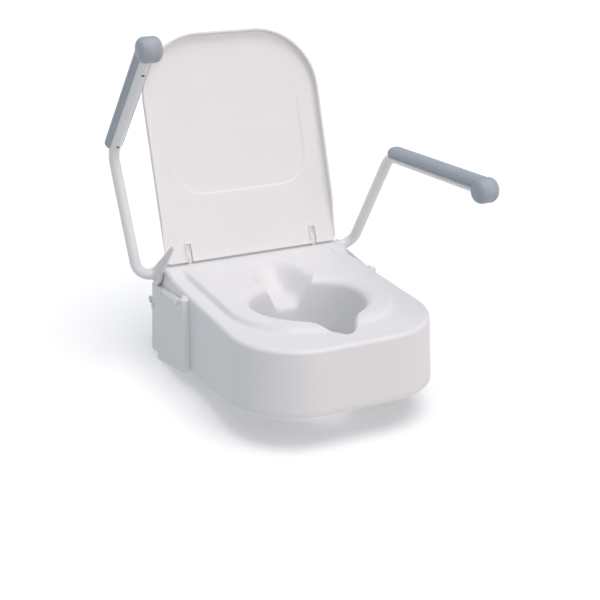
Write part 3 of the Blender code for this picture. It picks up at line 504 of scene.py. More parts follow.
def smooth_step(share):
    """Eases from 0 to 1 with no corner at either end."""
    share = min(max(share, 0.0), 1.0)
    return share * share * (3.0 - 2.0 * share)


def arc(centre, radius, start, end, steps):
    """Points on an arc, with its angles in degrees."""
    points = []
    for step in range(steps + 1):
        angle = math.radians(start + (end - start) * step / steps)
        points.append((centre[0] + radius * math.cos(angle), centre[1] + radius * math.sin(angle)))
    return points


def plan_outline(half_width, front, rear, front_round, rear_round):
    """A round-fronted outline, clockwise from the middle of the back as seen from above."""
    flat = half_width - rear_round
    front_flat = half_width - front_round
    side_rear = rear - rear_round
    side_run = front + front_round - side_rear
    half = [(flat * step / REAR_STEPS, rear) for step in range(REAR_STEPS)]
    half += arc((flat, side_rear), rear_round, 90.0, 0.0, REAR_CORNER_STEPS)[:-1]
    half += [(half_width, side_rear + side_run * step / SIDE_STEPS) for step in range(SIDE_STEPS)]
    half += arc((front_flat, front + front_round), front_round, 0.0, -90.0, FRONT_CORNER_STEPS)[:-1]
    half += [(front_flat * (1.0 - step / FRONT_STEPS), front) for step in range(FRONT_STEPS + 1)]
    return half + [(-x, y) for x, y in reversed(half[1:-1])]


def seat_outline(inset):
    """The seat's outline, drawn in or out by an even distance."""
    return plan_outline(
        SEAT_HALF_WIDTH - inset,
        SEAT_FRONT + inset,
        SEAT_REAR - inset,
        SEAT_FRONT_ROUND - inset,
        max(SEAT_REAR_ROUND - inset, LEAST_REAR_ROUND),
    )


print("outline points:", len(seat_outline(0.0)))

# %% [markdown]
# ## Surface of the seat
#
# A narrow border ledge runs round the seat, and inside it a broad ring rises to sit on. The ring fades out
# at the front, and at the back the border rises to a deck of the same height, which carries the lid. Behind
# the opening the ring dips into a flared scoop that runs down to it, and the opening itself is an egg drawn
# out into a notch at the front. One function gives the height of the top anywhere, so every ring of the
# mesh can be laid straight on the surface.

# %% Surface of the seat
RING_HALF_WIDTH = 0.1645
RING_FRONT = -0.391
RING_ROUND = 0.148
RING_RISE = 0.009
RING_SLOPE = 0.010
RING_FADE_FRONT = -0.400
RING_FADE_RUN = 0.045
DECK_START = -0.060
DECK_RUN = 0.050
DECK = SEAT_TOP + RING_RISE
SCOOP_DEPTH = 0.050
SCOOP_REAR = -0.030
SCOOP_RUN = 0.095
SCOOP_FRONT = -0.240
SCOOP_FRONT_RUN = 0.040
SCOOP_HALF_WIDTH = 0.034
SCOOP_SPREAD = 0.25
SCOOP_WALL = 0.036
OPENING_MIDDLE = Vector((0.0, -0.238))
OPENING_HALF_WIDTH = 0.108
OPENING_REAR_LENGTH = 0.078
OPENING_FRONT_LENGTH = 0.117
NOTCH_REACH = 0.047
NOTCH_SPREAD = math.radians(13.0)


def ring_inset(x, y):
    """How far a point lies inside the outline of the raised ring."""
    corner_x = RING_HALF_WIDTH - RING_ROUND
    corner_y = RING_FRONT + RING_ROUND
    if abs(x) > corner_x and y < corner_y:
        return RING_ROUND - math.hypot(abs(x) - corner_x, y - corner_y)
    return min(RING_HALF_WIDTH - abs(x), y - RING_FRONT)


def edge_height(y):
    """Height of the border, which rises to the deck at the back."""
    return SEAT_TOP + RING_RISE * smooth_step((y - DECK_START) / DECK_RUN)


def seat_height(x, y):
    """Height of the seat's top at a point of the plan."""
    fade = smooth_step((y - RING_FADE_FRONT) / RING_FADE_RUN)
    ring = fade * smooth_step(ring_inset(x, y) / RING_SLOPE)
    edge = edge_height(y)
    half_width = SCOOP_HALF_WIDTH + SCOOP_SPREAD * max(SCOOP_REAR - y, 0.0)
    across = smooth_step((half_width - abs(x)) / SCOOP_WALL)
    along = smooth_step((SCOOP_REAR - y) / SCOOP_RUN)
    along *= smooth_step((y - SCOOP_FRONT) / SCOOP_FRONT_RUN)
    return edge + (DECK - edge) * ring - SCOOP_DEPTH * across * along


def from_front(angle):
    """Angle about the middle of the opening, measured from straight ahead."""
    return abs(math.remainder(angle + math.pi / 2.0, 2.0 * math.pi))


def opening_reach(angle):
    """Distance from the middle of the opening to its edge."""
    length = OPENING_REAR_LENGTH if math.sin(angle) > 0.0 else OPENING_FRONT_LENGTH
    reach = 1.0 / math.hypot(math.cos(angle) / OPENING_HALF_WIDTH, math.sin(angle) / length)
    return reach + NOTCH_REACH * math.exp(-(from_front(angle) / NOTCH_SPREAD) ** 2)


print("seat height beside the opening:", round(seat_height(0.14, -0.25), 4))

# %% [markdown]
# ## The seat shell
#
# The real shell is one thin moulding: skirt, rolled edge, top, rolled rim and the splash guard that goes
# down inside it. A subdivided sketch would round off the crease of the ring, so the shell is drawn as many
# closely spaced rings on the surface itself, from the foot of the skirt to the foot of the guard. The rim is
# then smoothed a little, which shows most where the scoop runs over it. A Solidify modifier gives the wall,
# a box opens the back for the bracket, and a small bevel breaks the raw edges.

# %% The seat shell
SEAT_WALL = 0.004
EDGE_ROUND = 0.008
RIM_FRONT_ROUND = 0.010
RIM_ROUND_GAIN = 0.016
RIM_DROP = 0.016
RIM_STEPS = 12
RIM_ZONE = 0.050
RIM_ZONE_FOOT = 0.040
RIM_SMOOTHING = 12
SKIRT_FRONT_DEPTH = 0.120
SKIRT_REAR_DEPTH = 0.150
SKIRT_DRAFT = 0.010
SKIRT_DROP_FRONT = -0.430
SKIRT_DROP_RUN = 0.300
FLARE_REAR = -0.150
FLARE_RUN = 0.300
FLARE_POWER = 1.5
RIM_TIGHT_ANGLE = 25.0
RIM_WIDENING_ANGLE = 70.0
GUARD_DEPTH = 0.097
GUARD_TAPER = 0.94
SKIRT_STEPS = 10
ROUND_STEPS = 7
TOP_STEPS = 44
GUARD_STEPS = 8


def skirt_foot(y):
    """Height of the skirt's lower edge."""
    drop = SKIRT_REAR_DEPTH - SKIRT_FRONT_DEPTH
    return SEAT_TOP - SKIRT_FRONT_DEPTH - drop * smooth_step((y - SKIRT_DROP_FRONT) / SKIRT_DROP_RUN)


def skirt_flare(y):
    """Share of the skirt's draft that is used: none at the back, all of it at the front."""
    return min(max((FLARE_REAR - y) / FLARE_RUN, 0.0), 1.0) ** FLARE_POWER


def rim_round(angle):
    """Width of the rounded rim: tight at the notch, broad at the sides and the back."""
    beyond = math.degrees(from_front(angle)) - RIM_TIGHT_ANGLE
    return RIM_FRONT_ROUND + RIM_ROUND_GAIN * smooth_step(beyond / RIM_WIDENING_ANGLE)


def skirt_rings():
    rings = []
    for step in range(SKIRT_STEPS + 1):
        share = step / SKIRT_STEPS
        ring = []
        for (x, y), (wide_x, wide_y) in zip(seat_outline(0.0), seat_outline(-SKIRT_DRAFT)):
            flare = skirt_flare(y) * (1.0 - share)
            foot = skirt_foot(y)
            z = foot + (edge_height(y) - EDGE_ROUND - foot) * share
            ring.append(Vector((x + (wide_x - x) * flare, y + (wide_y - y) * flare, z)))
        rings.append(ring)
    return rings


def edge_rings():
    rings = []
    for step in range(1, ROUND_STEPS):
        angle = math.pi / 2.0 * step / ROUND_STEPS
        drop = EDGE_ROUND * (1.0 - math.sin(angle))
        outline = seat_outline(EDGE_ROUND * (1.0 - math.cos(angle)))
        rings.append([Vector((x, y, edge_height(y) - drop)) for x, y in outline])
    return rings


def top_rings():
    """From the rolled edge to the foot of the splash guard, along lines to the middle of the opening."""
    lines = []
    for x, y in seat_outline(EDGE_ROUND):
        start = Vector((x, y))
        out = (start - OPENING_MIDDLE).normalized()
        angle = math.atan2(out.y, out.x)
        mouth = OPENING_MIDDLE + out * opening_reach(angle)
        lines.append((start, mouth + out * rim_round(angle), mouth))
    rings = []
    for step in range(TOP_STEPS + 1):
        ring = []
        for start, rim, mouth in lines:
            point = start.lerp(rim, step / TOP_STEPS)
            ring.append(Vector((*point, seat_height(*point))))
        rings.append(ring)
    for step in range(1, RIM_STEPS + 1):
        turn = math.pi / 2.0 * step / RIM_STEPS
        drop = RIM_DROP * (1.0 - math.cos(turn))
        share = math.sin(turn)
        rings.append([
            Vector((*rim.lerp(mouth, share), seat_height(*rim) - drop)) for start, rim, mouth in lines
        ])
    mouth_ring = rings[-1]
    for step in range(1, GUARD_STEPS + 1):
        share = step / GUARD_STEPS
        ring = []
        for corner in mouth_ring:
            point = OPENING_MIDDLE.lerp(corner.xy, 1.0 - (1.0 - GUARD_TAPER) * share)
            ring.append(Vector((*point, corner.z + (SEAT_TOP - GUARD_DEPTH - corner.z) * share)))
        rings.append(ring)
    return rings


seat = loft("seat_moulding", skirt_rings() + edge_rings() + top_rings(), capped=False)
facing = max(seat.data.polygons, key=lambda face: face.center.z).normal.z
if facing < 0.0:
    seat.data.flip_normals()
rim_zone = seat.vertex_groups.new(name="rim_zone")
near_rim = []
for corner in seat.data.vertices:
    reach = corner.co.xy - OPENING_MIDDLE
    limit = opening_reach(math.atan2(reach.y, reach.x)) + RIM_ZONE
    if corner.co.z > RIM_ZONE_FOOT and reach.length < limit:
        near_rim.append(corner.index)
rim_zone.add(near_rim, 1.0, "REPLACE")
apply_modifier(seat, "SMOOTH", factor=0.5, iterations=RIM_SMOOTHING, vertex_group="rim_zone")
apply_modifier(seat, "SOLIDIFY", thickness=SEAT_WALL, offset=-1.0, use_even_offset=True)
print("seat shell corners:", len(seat.data.vertices), "top faced", "up" if facing > 0.0 else "down")

# %% Open the back of the seat
REAR_OPENING_HALF_WIDTH = 0.165
REAR_OPENING_TOP = SEAT_TOP - 0.030
REAR_OPENING_FOOT = SEAT_TOP - 0.200
REAR_OPENING_ROUND = 0.012
REAR_CUT = 0.020
RAW_EDGE = 0.0009


def carve(piece, tool, operation="DIFFERENCE"):
    """Cuts a tool from a piece, or joins it on, and removes the tool."""
    apply_modifier(piece, "BOOLEAN", operation=operation, solver="EXACT", object=tool)
    bpy.data.objects.remove(tool, do_unlink=True)


def slab(name, outline, travel):
    """Fills an outline and pulls it out along a straight line."""
    start = [Vector(point) for point in outline]
    return loft(name, [start, [point + Vector(travel) for point in start]])


half = REAR_OPENING_HALF_WIDTH
corner = REAR_OPENING_ROUND
opening = arc((half - corner, REAR_OPENING_TOP - corner), corner, 0.0, 90.0, 8)
opening += arc((corner - half, REAR_OPENING_TOP - corner), corner, 90.0, 180.0, 8)
opening += [(-half, REAR_OPENING_FOOT), (half, REAR_OPENING_FOOT)]
opening = [(x, SEAT_REAR - REAR_CUT, z) for x, z in opening]
carve(seat, slab("rear_opening", opening, (0.0, 2.0 * REAR_CUT, 0.0)))
soften(seat, RAW_EDGE, 2, math.radians(45.0))
dress(seat, SEAT_WHITE, "seat", "seat_shell")

# %% [markdown]
# ## The lid
#
# The lid is a shallow tray with a rolled edge and a slightly raised panel, which shows from inside as a
# soft recess with rounded lower corners. It is drawn closed, lying about its hinge, in the same way as the
# seat: rings from the foot of the lip, over the edge and on to the panel. Then it gets its wall, is turned
# open about the hinge and moved to it.

# %% The lid
LID_OPEN = math.radians(109.5)
LID_HALF_WIDTH = 0.186
LID_LENGTH = 0.4338
LID_REAR = 0.0055
LID_FRONT_ROUND = 0.125
LID_REAR_ROUND = 0.012
LID_TOP = -0.001
LID_ROUND = 0.006
LID_WALL = 0.0035
LID_LIP = -0.0167
LID_REAR_LIP = -0.006
LID_LIP_RUN = 0.085
LEAST_LIP = 0.0006
LIP_STOPS = (0.0, 0.35, 0.7, 1.0)
PANEL_HALF_WIDTH = 0.139
PANEL_REAR = -0.125
PANEL_MARGIN = 0.030
PANEL_ROUND = 0.058
PANEL_RISE = 0.0020
PANEL_SLOPE = 0.006
PANEL_FADE_END = -0.400
PANEL_FADE_RUN = 0.200
PANEL_STEPS = 6
BORDER_STEPS = 8
CROWN_STEPS = 10
CROWN_RISE = 0.001


def lid_outline(inset):
    return plan_outline(
        LID_HALF_WIDTH - inset,
        inset - LID_LENGTH,
        LID_REAR - inset,
        LID_FRONT_ROUND - inset,
        LID_REAR_ROUND - inset,
    )


def panel_outline(spread):
    return plan_outline(
        PANEL_HALF_WIDTH + spread,
        PANEL_MARGIN - LID_LENGTH - spread,
        PANEL_REAR + spread,
        LID_FRONT_ROUND - PANEL_MARGIN + spread,
        PANEL_ROUND + spread,
    )


def lid_lip(y):
    """Height of the lip's lower edge, which runs out towards the hinge."""
    forward = smooth_step((-LID_REAR_ROUND - y) / LID_LIP_RUN)
    return LID_REAR_LIP + (LID_LIP - LID_REAR_LIP) * forward


def lid_round(y):
    """Radius of the rolled edge, which shrinks with the lip."""
    return min(LID_ROUND, LID_TOP - lid_lip(y) - LEAST_LIP)


def panel_rise(y):
    """Rise of the panel, which fades out towards the front of the lid."""
    return PANEL_RISE * smooth_step((y - PANEL_FADE_END) / PANEL_FADE_RUN)


def lid_rings():
    rings = []
    for share in LIP_STOPS:
        ring = []
        for x, y in lid_outline(0.0):
            ring.append(Vector((x, y, lid_lip(y) + (LID_TOP - lid_round(y) - lid_lip(y)) * share)))
        rings.append(ring)
    for step in range(1, ROUND_STEPS + 1):
        angle = math.pi / 2.0 * step / ROUND_STEPS
        ring = []
        for outer, inner in zip(lid_outline(0.0), lid_outline(LID_ROUND)):
            radius = lid_round(outer[1])
            point = Vector(outer).lerp(Vector(inner), radius / LID_ROUND * (1.0 - math.cos(angle)))
            ring.append(Vector((*point, LID_TOP - radius * (1.0 - math.sin(angle)))))
        rings.append(ring)
    border = rings[-1]
    foot = [Vector((x, y, LID_TOP)) for x, y in panel_outline(PANEL_SLOPE)]
    for step in range(1, BORDER_STEPS):
        rings.append([near.lerp(far, step / BORDER_STEPS) for near, far in zip(border, foot)])
    for step in range(PANEL_STEPS + 1):
        share = step / PANEL_STEPS
        lift = smooth_step(share)
        outline = panel_outline(PANEL_SLOPE * (1.0 - share))
        rings.append([Vector((x, y, LID_TOP + panel_rise(y) * lift)) for x, y in outline])
    panel = rings[-1]
    middle_y = (PANEL_REAR + PANEL_MARGIN - LID_LENGTH) / 2.0
    middle = Vector((0.0, middle_y, LID_TOP + panel_rise(middle_y)))
    for step in range(1, CROWN_STEPS):
        share = step / CROWN_STEPS
        lift = Vector((0.0, 0.0, CROWN_RISE * share * (2.0 - share)))
        rings.append([corner.lerp(middle, share) + lift for corner in panel])
    return rings


lid = loft("lid_moulding", lid_rings(), capped=False)
pick(lid)
bpy.ops.object.mode_set(mode="EDIT")
bpy.ops.mesh.select_all(action="DESELECT")
crown = bmesh.from_edit_mesh(lid.data)
for edge in crown.edges:
    edge.select = edge.is_boundary and edge.verts[0].co.z > LID_TOP
bpy.ops.mesh.edge_face_add()
bpy.ops.object.mode_set(mode="OBJECT")
facing = max(lid.data.polygons, key=lambda face: face.center.z).normal.z
if facing < 0.0:
    lid.data.flip_normals()
apply_modifier(lid, "SOLIDIFY", thickness=LID_WALL, offset=-1.0, use_even_offset=True)
print("lid corners:", len(lid.data.vertices))

# %% [markdown]
# ## The lid's hinge slots
#
# At each hinge post the lid has a slot in a raised frame, which runs out into a blind pocket, and an ear on
# either side of the post. These are small closed shapes joined to the tray, or cut from it, with Booleans,
# before the lid is opened.

# %% Hinge frames, slots and ears
POST_X = 0.135
LID_NOTCH_HALF_WIDTH = 0.0048
LID_NOTCH_LENGTH = 0.0145
LID_NOTCH_CORNER = 0.0005
POCKET_START = -0.010
POCKET_LENGTH = 0.0295
POCKET_FLOOR = 0.0012
POCKET_CORNER = 0.0015
EAR_WIDTH = 0.006
EAR_RADIUS = 0.0055
FRAME_HALF_WIDTH = 0.0074
FRAME_LENGTH = 0.033
FRAME_START = -0.002
FRAME_PROUD = 0.003
FRAME_ROUND = 0.003
FRAME_EDGE = 0.0007
FRAME_OVERLAP = 0.001
LID_CUT = 0.030
SIDES = {"left": -1.0, "right": 1.0}


def rod(name, start, end, radius, steps=32):
    """A round rod from one point to another."""
    start = Vector(start)
    travel = Vector(end) - start
    turn = travel.to_track_quat("Z", "Y").to_matrix()
    circle = arc((0.0, 0.0), radius, 0.0, 360.0, steps)[:-1]
    return slab(name, [start + turn @ Vector((x, y, 0.0)) for x, y in circle], travel)


def round_ended(middle, half_width, end, corner, start):
    """A strip in plan from a straight start to an end with rounded corners."""
    near = middle - half_width
    far = middle + half_width
    points = arc((near + corner, end + corner), corner, 180.0, 270.0, 6)
    points += arc((far - corner, end + corner), corner, 270.0, 360.0, 6)
    return points + [(far, start), (near, start)]


inner = LID_TOP - LID_WALL
for side in SIDES.values():
    middle = side * POST_X
    outline = round_ended(middle, FRAME_HALF_WIDTH, -FRAME_LENGTH, FRAME_ROUND, FRAME_START)
    outline = [(x, y, inner - FRAME_PROUD) for x, y in outline]
    rim = slab("frame", outline, (0.0, 0.0, FRAME_PROUD + FRAME_OVERLAP))
    soften(rim, FRAME_EDGE)
    carve(lid, rim, "UNION")
    gap = round_ended(middle, LID_NOTCH_HALF_WIDTH, -LID_NOTCH_LENGTH, LID_NOTCH_CORNER, LID_CUT)
    carve(lid, slab("notch", [(x, y, -LID_CUT) for x, y in gap], (0.0, 0.0, 2.0 * LID_CUT)))
    pocket = round_ended(middle, LID_NOTCH_HALF_WIDTH, -POCKET_LENGTH, POCKET_CORNER, POCKET_START)
    deep = LID_TOP - POCKET_FLOOR
    carve(lid, slab("pocket", [(x, y, -LID_CUT) for x, y in pocket], (0.0, 0.0, deep + LID_CUT)))
    for start in (middle - LID_NOTCH_HALF_WIDTH - EAR_WIDTH, middle + LID_NOTCH_HALF_WIDTH):
        carve(lid, rod("ear", (start, 0.0, 0.0), (start + EAR_WIDTH, 0.0, 0.0), EAR_RADIUS), "UNION")

soften(lid, RAW_EDGE, 2, math.radians(50.0))
lid.data.transform(Matrix.Translation(axis_at["lid_hinge"]) @ Matrix.Rotation(-LID_OPEN, 4, "X"))
dress(lid, LID_WHITE_PAINTED_LIGHT, "lid", "lid_shell")

# %% [markdown]
# ## Copies for the other side
#
# Everything at the sides comes in pairs. The right one is modelled, then copied with its own mesh and
# mirrored. Mirroring turns a mesh inside out, so its faces are flipped back. The left arm is also raised,
# so its pieces are turned about the arm's pivot after the mirror.

# %% Pairs
LEFT_ARM_RAISED = math.radians(42.3)
arm_axis = Vector((0.0, *axis_at["right_arm_pivot"].yz))
raise_left = (
    Matrix.Translation(arm_axis) @ Matrix.Rotation(-LEFT_ARM_RAISED, 4, "X") @ Matrix.Translation(-arm_axis)
)


def left_copy(piece, turn):
    """A mirrored copy of a right-hand piece, with its own mesh."""
    pick(piece)
    bpy.ops.object.duplicate()
    copy = bpy.context.object
    copy.name = piece.name.replace("right", "left")
    copy.data.name = copy.name
    copy.data.transform(Matrix.Scale(-1.0, 4, (1.0, 0.0, 0.0)))
    copy.data.flip_normals()
    copy.data.transform(turn)
    return copy


def dress_pair(piece, finish, body, *nodes):
    """Dresses a right-hand piece and its mirrored copy."""
    on_arm = body == "right_arm"
    copy = left_copy(piece, raise_left if on_arm else Matrix.Identity(4))
    dress(piece, finish, body, *nodes)
    left_nodes = [node.replace("right", "left") for node in nodes]
    dress(copy, finish, body.replace("right", "left"), *left_nodes)
    return piece, copy


print("arm axis:", tuple(arm_axis))

# %% [markdown]
# ## Arm tubes
#
# Each arm is a steel tube with two bends: out of the pivot and up, then forward under the pad. The path is
# straight runs joined by arcs. A ring of edges is carried along it, held square to the path at each stop,
# which is what a sweep does, and the ring count stays under control. Two shallow recesses under the pad
# take the heads of its screws.

# %% Arm tubes
TUBE_RADIUS = 0.0105
TUBE_STEPS = 40
BEND_STEPS = 18
TUBE_START_X = 0.2022
HUB_X = 0.2352
ELBOW_X = 0.2542
TUBE_OFFSET = 0.006
RISER_LENGTH = 0.2408
RISER_ANGLE = math.radians(62.86)
PAD_RUN = 0.3284
PAD_RISE = 0.0225
HUB_BEND = 0.030
ELBOW_BEND = 0.040
PAD_SCREWS = {"rear": 0.038, "front": 0.268}
RECESS_RADIUS = 0.0036
RECESS_DEPTH = 0.0016
RECESS_CUT = 0.005
TUBE_END_GAP = 0.004

riser = Vector((0.0, -math.cos(RISER_ANGLE), math.sin(RISER_ANGLE))) * RISER_LENGTH
tube_start = arm_axis + Vector((TUBE_START_X, 0.0, TUBE_OFFSET))
hub = arm_axis + Vector((HUB_X, 0.0, TUBE_OFFSET))
elbow = arm_axis + Vector((ELBOW_X, riser.y, TUBE_OFFSET + riser.z))
knob_middle = elbow + Vector((0.0, -PAD_RUN, PAD_RISE))
pad_run = (knob_middle - elbow).normalized()
pad_up = Vector((0.0, pad_run.z, -pad_run.y))


def bent_path(corners, radii):
    """Straight runs with a round bend at each inner corner."""
    path = [corners[0]]
    for before, corner, after, radius in zip(corners, corners[1:], corners[2:], radii):
        into = (corner - before).normalized()
        out = (after - corner).normalized()
        turn = into.angle(out)
        centre = corner + (out - into).normalized() * (radius / math.cos(turn / 2.0))
        spoke = corner - into * radius * math.tan(turn / 2.0) - centre
        for step in range(BEND_STEPS + 1):
            path.append(centre + Matrix.Rotation(turn * step / BEND_STEPS, 3, into.cross(out)) @ spoke)
    path.append(corners[-1])
    return path


def swept_rings(path, radius):
    """Rings square to a path, without a twist from one to the next."""
    rings = []
    side = Vector((0.0, 1.0, 0.0))
    for step, point in enumerate(path):
        before = path[max(step - 1, 0)]
        after = path[min(step + 1, len(path) - 1)]
        along = (after - before).normalized()
        side = (side - along * side.dot(along)).normalized()
        other = along.cross(side)
        circle = arc((0.0, 0.0), radius, 0.0, 360.0, TUBE_STEPS)[:-1]
        rings.append([point + side * a + other * b for a, b in circle])
    return rings


tube_end = knob_middle - pad_run * TUBE_END_GAP
tube_path = bent_path([tube_start, hub, elbow, tube_end], (HUB_BEND, ELBOW_BEND))
tube = loft("right_bent_tube", swept_rings(tube_path, TUBE_RADIUS))
for distance in PAD_SCREWS.values():
    below = elbow + pad_run * distance - pad_up * (TUBE_RADIUS + RECESS_CUT)
    carve(tube, rod("recess", below, below + pad_up * (RECESS_CUT + RECESS_DEPTH), RECESS_RADIUS))
dress_pair(tube, POWDER_COAT, "right_arm", "right_arm_tube")

# %% [markdown]
# ## Arm pads
#
# A pad is a long rounded D that saddles the tube: its top is slightly flattened, its sides swell and then
# tuck in under, with a moulding crease along each side, and its underside is hollowed to fit the tube. The
# section is drawn once and carried along the tube. Its rear end is rounded by drawing the section in, and
# its front end is cut to follow the knob.

# %% Arm pads
PAD_START = 0.018
PAD_HALF_WIDTH = 0.0175
PAD_TOP = 0.0225
PAD_WAIST = 0.0095
PAD_SQUARENESS = 2.4
PAD_GAP = 0.0002
PAD_GROOVE = TUBE_RADIUS + PAD_GAP
PAD_LIP = 0.0016
PAD_SECTION_MIDDLE = Vector((0.0, 0.011))
PAD_SECTION_STEPS = 18
PAD_GROOVE_STEPS = 22
PAD_GROOVE_PAST = 2.0
LEAST_LENGTH = 0.001
LEAST_SQUARE = 0.0000004
PAD_END_ROUND = 0.004
PAD_END_STEPS = 8
PAD_STEPS = 26
PAD_UNDERCUT = [(0.0130, 0.0012), (0.0146, 0.0018), (0.0157, 0.0030), (0.0163, 0.0044)]
PAD_CREASE = [(0.0165, 0.0056), (0.0156, 0.0063), (0.0156, 0.0068), (0.0167, 0.0075)]
KNOB_RADIUS = 0.0225
KNOB_HALF_WIDTH = 0.021
KNOB_ROUND = 0.013


def knob_radius_at(across):
    """Radius of the knob at a distance from its middle."""
    beyond = max(abs(across) - (KNOB_HALF_WIDTH - KNOB_ROUND), 0.0)
    return KNOB_RADIUS - KNOB_ROUND + math.sqrt(max(KNOB_ROUND ** 2 - beyond ** 2, 0.0))


def pad_section():
    """Half sections (across, up) from the groove's lip to the crown, mirrored, then the groove."""
    half = PAD_UNDERCUT + PAD_CREASE
    power = 2.0 / PAD_SQUARENESS
    for x, y in arc((0.0, 0.0), 1.0, 0.0, 90.0, PAD_SECTION_STEPS)[:-1]:
        half.append((PAD_HALF_WIDTH * x ** power, PAD_WAIST + (PAD_TOP - PAD_WAIST) * y ** power))
    outer = half + [(0.0, PAD_TOP)] + [(-a, h) for a, h in reversed(half)]
    groove = arc((0.0, 0.0), PAD_GROOVE, 180.0 + PAD_GROOVE_PAST, -PAD_GROOVE_PAST, PAD_GROOVE_STEPS)
    return outer, groove


def pad_rings():
    outer, groove = pad_section()
    length = (knob_middle - elbow).length
    rings = []
    stops = [(step / PAD_END_STEPS, 0.0) for step in range(PAD_END_STEPS)]
    stops += [(1.0, step / PAD_STEPS) for step in range(PAD_STEPS + 1)]
    for rounding, share in stops:
        pull = PAD_END_ROUND * (1.0 - math.sqrt(1.0 - (1.0 - rounding) ** 2))
        ring = []
        for across, up in outer:
            point = Vector((across, up)) - PAD_SECTION_MIDDLE
            point = PAD_SECTION_MIDDLE + point * max(1.0 - pull / max(point.length, LEAST_LENGTH), 0.0)
            if point.length < PAD_GROOVE + PAD_LIP:
                point = point.normalized() * (PAD_GROOVE + PAD_LIP)
            ring.append(tuple(point))
        ring += groove
        placed = []
        for across, up in ring:
            reach = knob_radius_at(across) + PAD_GAP
            back = math.sqrt(max(reach ** 2 - up ** 2, LEAST_SQUARE))
            front = length - back
            start = PAD_START + PAD_END_ROUND * rounding
            distance = start + (front - start) * share
            placed.append(elbow + pad_run * distance + Vector((across, 0.0, 0.0)) + pad_up * up)
        rings.append(placed)
    return rings


pad = loft("right_arm_cushion", pad_rings())
for cushion in dress_pair(pad, PAD_FOAM, "right_arm", "right_arm_pad"):
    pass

# %% [markdown]
# ## End knobs
#
# The pad ends in a drum that lies across it, of the same foam, for the hand to push on. A fine groove marks
# where each domed end begins. The profile is spun about the drum's axis. The spin leaves a seam and two
# poles, which are welded before the faces are turned outward.

# %% End knobs
KNOB_STEPS = 72
KNOB_GROOVE = 0.0004
KNOB_GROOVE_SHAPE = ((-1, 0), (0, 1), (1, 0))
KNOB_DOME_START = 3.0
KNOB_DOME_STEPS = 12
ALONG_X = Matrix.Rotation(math.pi / 2.0, 4, "Y")


def turned(name, profile, place, steps=48):
    """Spins a closed profile of (radius, height) about Z, then sets it in its place."""
    piece = edge_ring(name, [Vector((radius, 0.0, height)) for radius, height in profile])
    bpy.ops.mesh.spin(steps=steps, angle=2.0 * math.pi, center=(0.0, 0.0, 0.0), axis=(0.0, 0.0, 1.0))
    bpy.ops.mesh.select_all(action="SELECT")
    bpy.ops.mesh.remove_doubles(threshold=WELD)
    bpy.ops.mesh.delete_loose()
    close_up(piece)
    piece.data.transform(place)
    return piece


flat = KNOB_HALF_WIDTH - KNOB_ROUND
barrel = KNOB_RADIUS - KNOB_ROUND
groove = [(KNOB_RADIUS - KNOB_GROOVE * depth, step * KNOB_GROOVE) for step, depth in KNOB_GROOVE_SHAPE]
profile = [(0.0, -KNOB_HALF_WIDTH)]
profile += arc((barrel, -flat), KNOB_ROUND, -90.0, -KNOB_DOME_START, KNOB_DOME_STEPS)
profile += [(radius, height - flat) for radius, height in groove]
profile += [(radius, height + flat) for radius, height in groove]
profile += arc((barrel, flat), KNOB_ROUND, KNOB_DOME_START, 90.0, KNOB_DOME_STEPS)
profile += [(0.0, KNOB_HALF_WIDTH)]
knob = turned("right_push_knob", profile, Matrix.Translation(knob_middle) @ ALONG_X, KNOB_STEPS)
dress_pair(knob, PAD_FOAM, "right_arm", "right_end_knob")

# %% [markdown]
# ## Pad screws
#
# Two round-headed screws come up through the tube into each pad, their heads sunk in its recesses. The head
# is a short turned dome with a cross slot cut into it by two thin boxes.

# %% Pad screws
SCREW_RADIUS = 0.002
SCREW_HEAD_RADIUS = 0.0033
SCREW_HEAD_HEIGHT = 0.0016
SCREW_HEAD_TURNS = (0.0, 0.4, 0.8, 1.2)
SCREW_STEPS = 28
PAD_SCREW_LENGTH = 0.022
CROSS_HALF_LENGTH = 0.0020
CROSS_HALF_WIDTH = 0.0004
CROSS_DEPTH = 0.0009
CROSS_CUT = 0.001


def round_screw(name, length):
    """A round-headed screw along Z: its head's flat side is at 0 and its crown below."""
    profile = [(0.0, length), (SCREW_RADIUS, length), (SCREW_RADIUS, 0.0)]
    for turn in SCREW_HEAD_TURNS:
        profile.append((SCREW_HEAD_RADIUS * math.cos(turn), -SCREW_HEAD_HEIGHT * math.sin(turn)))
    profile += [(0.0, -SCREW_HEAD_HEIGHT)]
    screw = turned(name, profile, Matrix.Identity(4), SCREW_STEPS)
    bottom = -SCREW_HEAD_HEIGHT - CROSS_CUT
    for long, wide in ((CROSS_HALF_LENGTH, CROSS_HALF_WIDTH), (CROSS_HALF_WIDTH, CROSS_HALF_LENGTH)):
        corners = [(-long, -wide, bottom), (long, -wide, bottom), (long, wide, bottom), (-long, wide, bottom)]
        carve(screw, slab("cross", corners, (0.0, 0.0, CROSS_CUT + CROSS_DEPTH)))
    return screw


screw_turn = Matrix((Vector((1.0, 0.0, 0.0)), -pad_run, pad_up)).transposed().to_4x4()
for label, distance in PAD_SCREWS.items():
    screw = round_screw(f"right_cushion_screw_{label}", PAD_SCREW_LENGTH)
    under = elbow + pad_run * distance - pad_up * (TUBE_RADIUS - RECESS_DEPTH)
    screw.data.transform(Matrix.Translation(under) @ screw_turn)
    # The near-black zinc on these heads is painted shade of their recesses.
    dress_pair(screw, PAINTED_SHADE_ZINC, "right_arm", f"right_pad_screw_{label}")

# %% [markdown]
# ## Stop levers and collars
#
# Where the tube meets the seat, a white hub grows into a long blade that lies along the seat's edge. Its
# foot stops the arm on the cheek's ledge when it is lowered, and its heel when it is raised. The blade is a
# filled outline pulled out to its thickness, thinned towards its tip, with soft edges. The collar is a
# slim turned ring where the tube enters the hub.

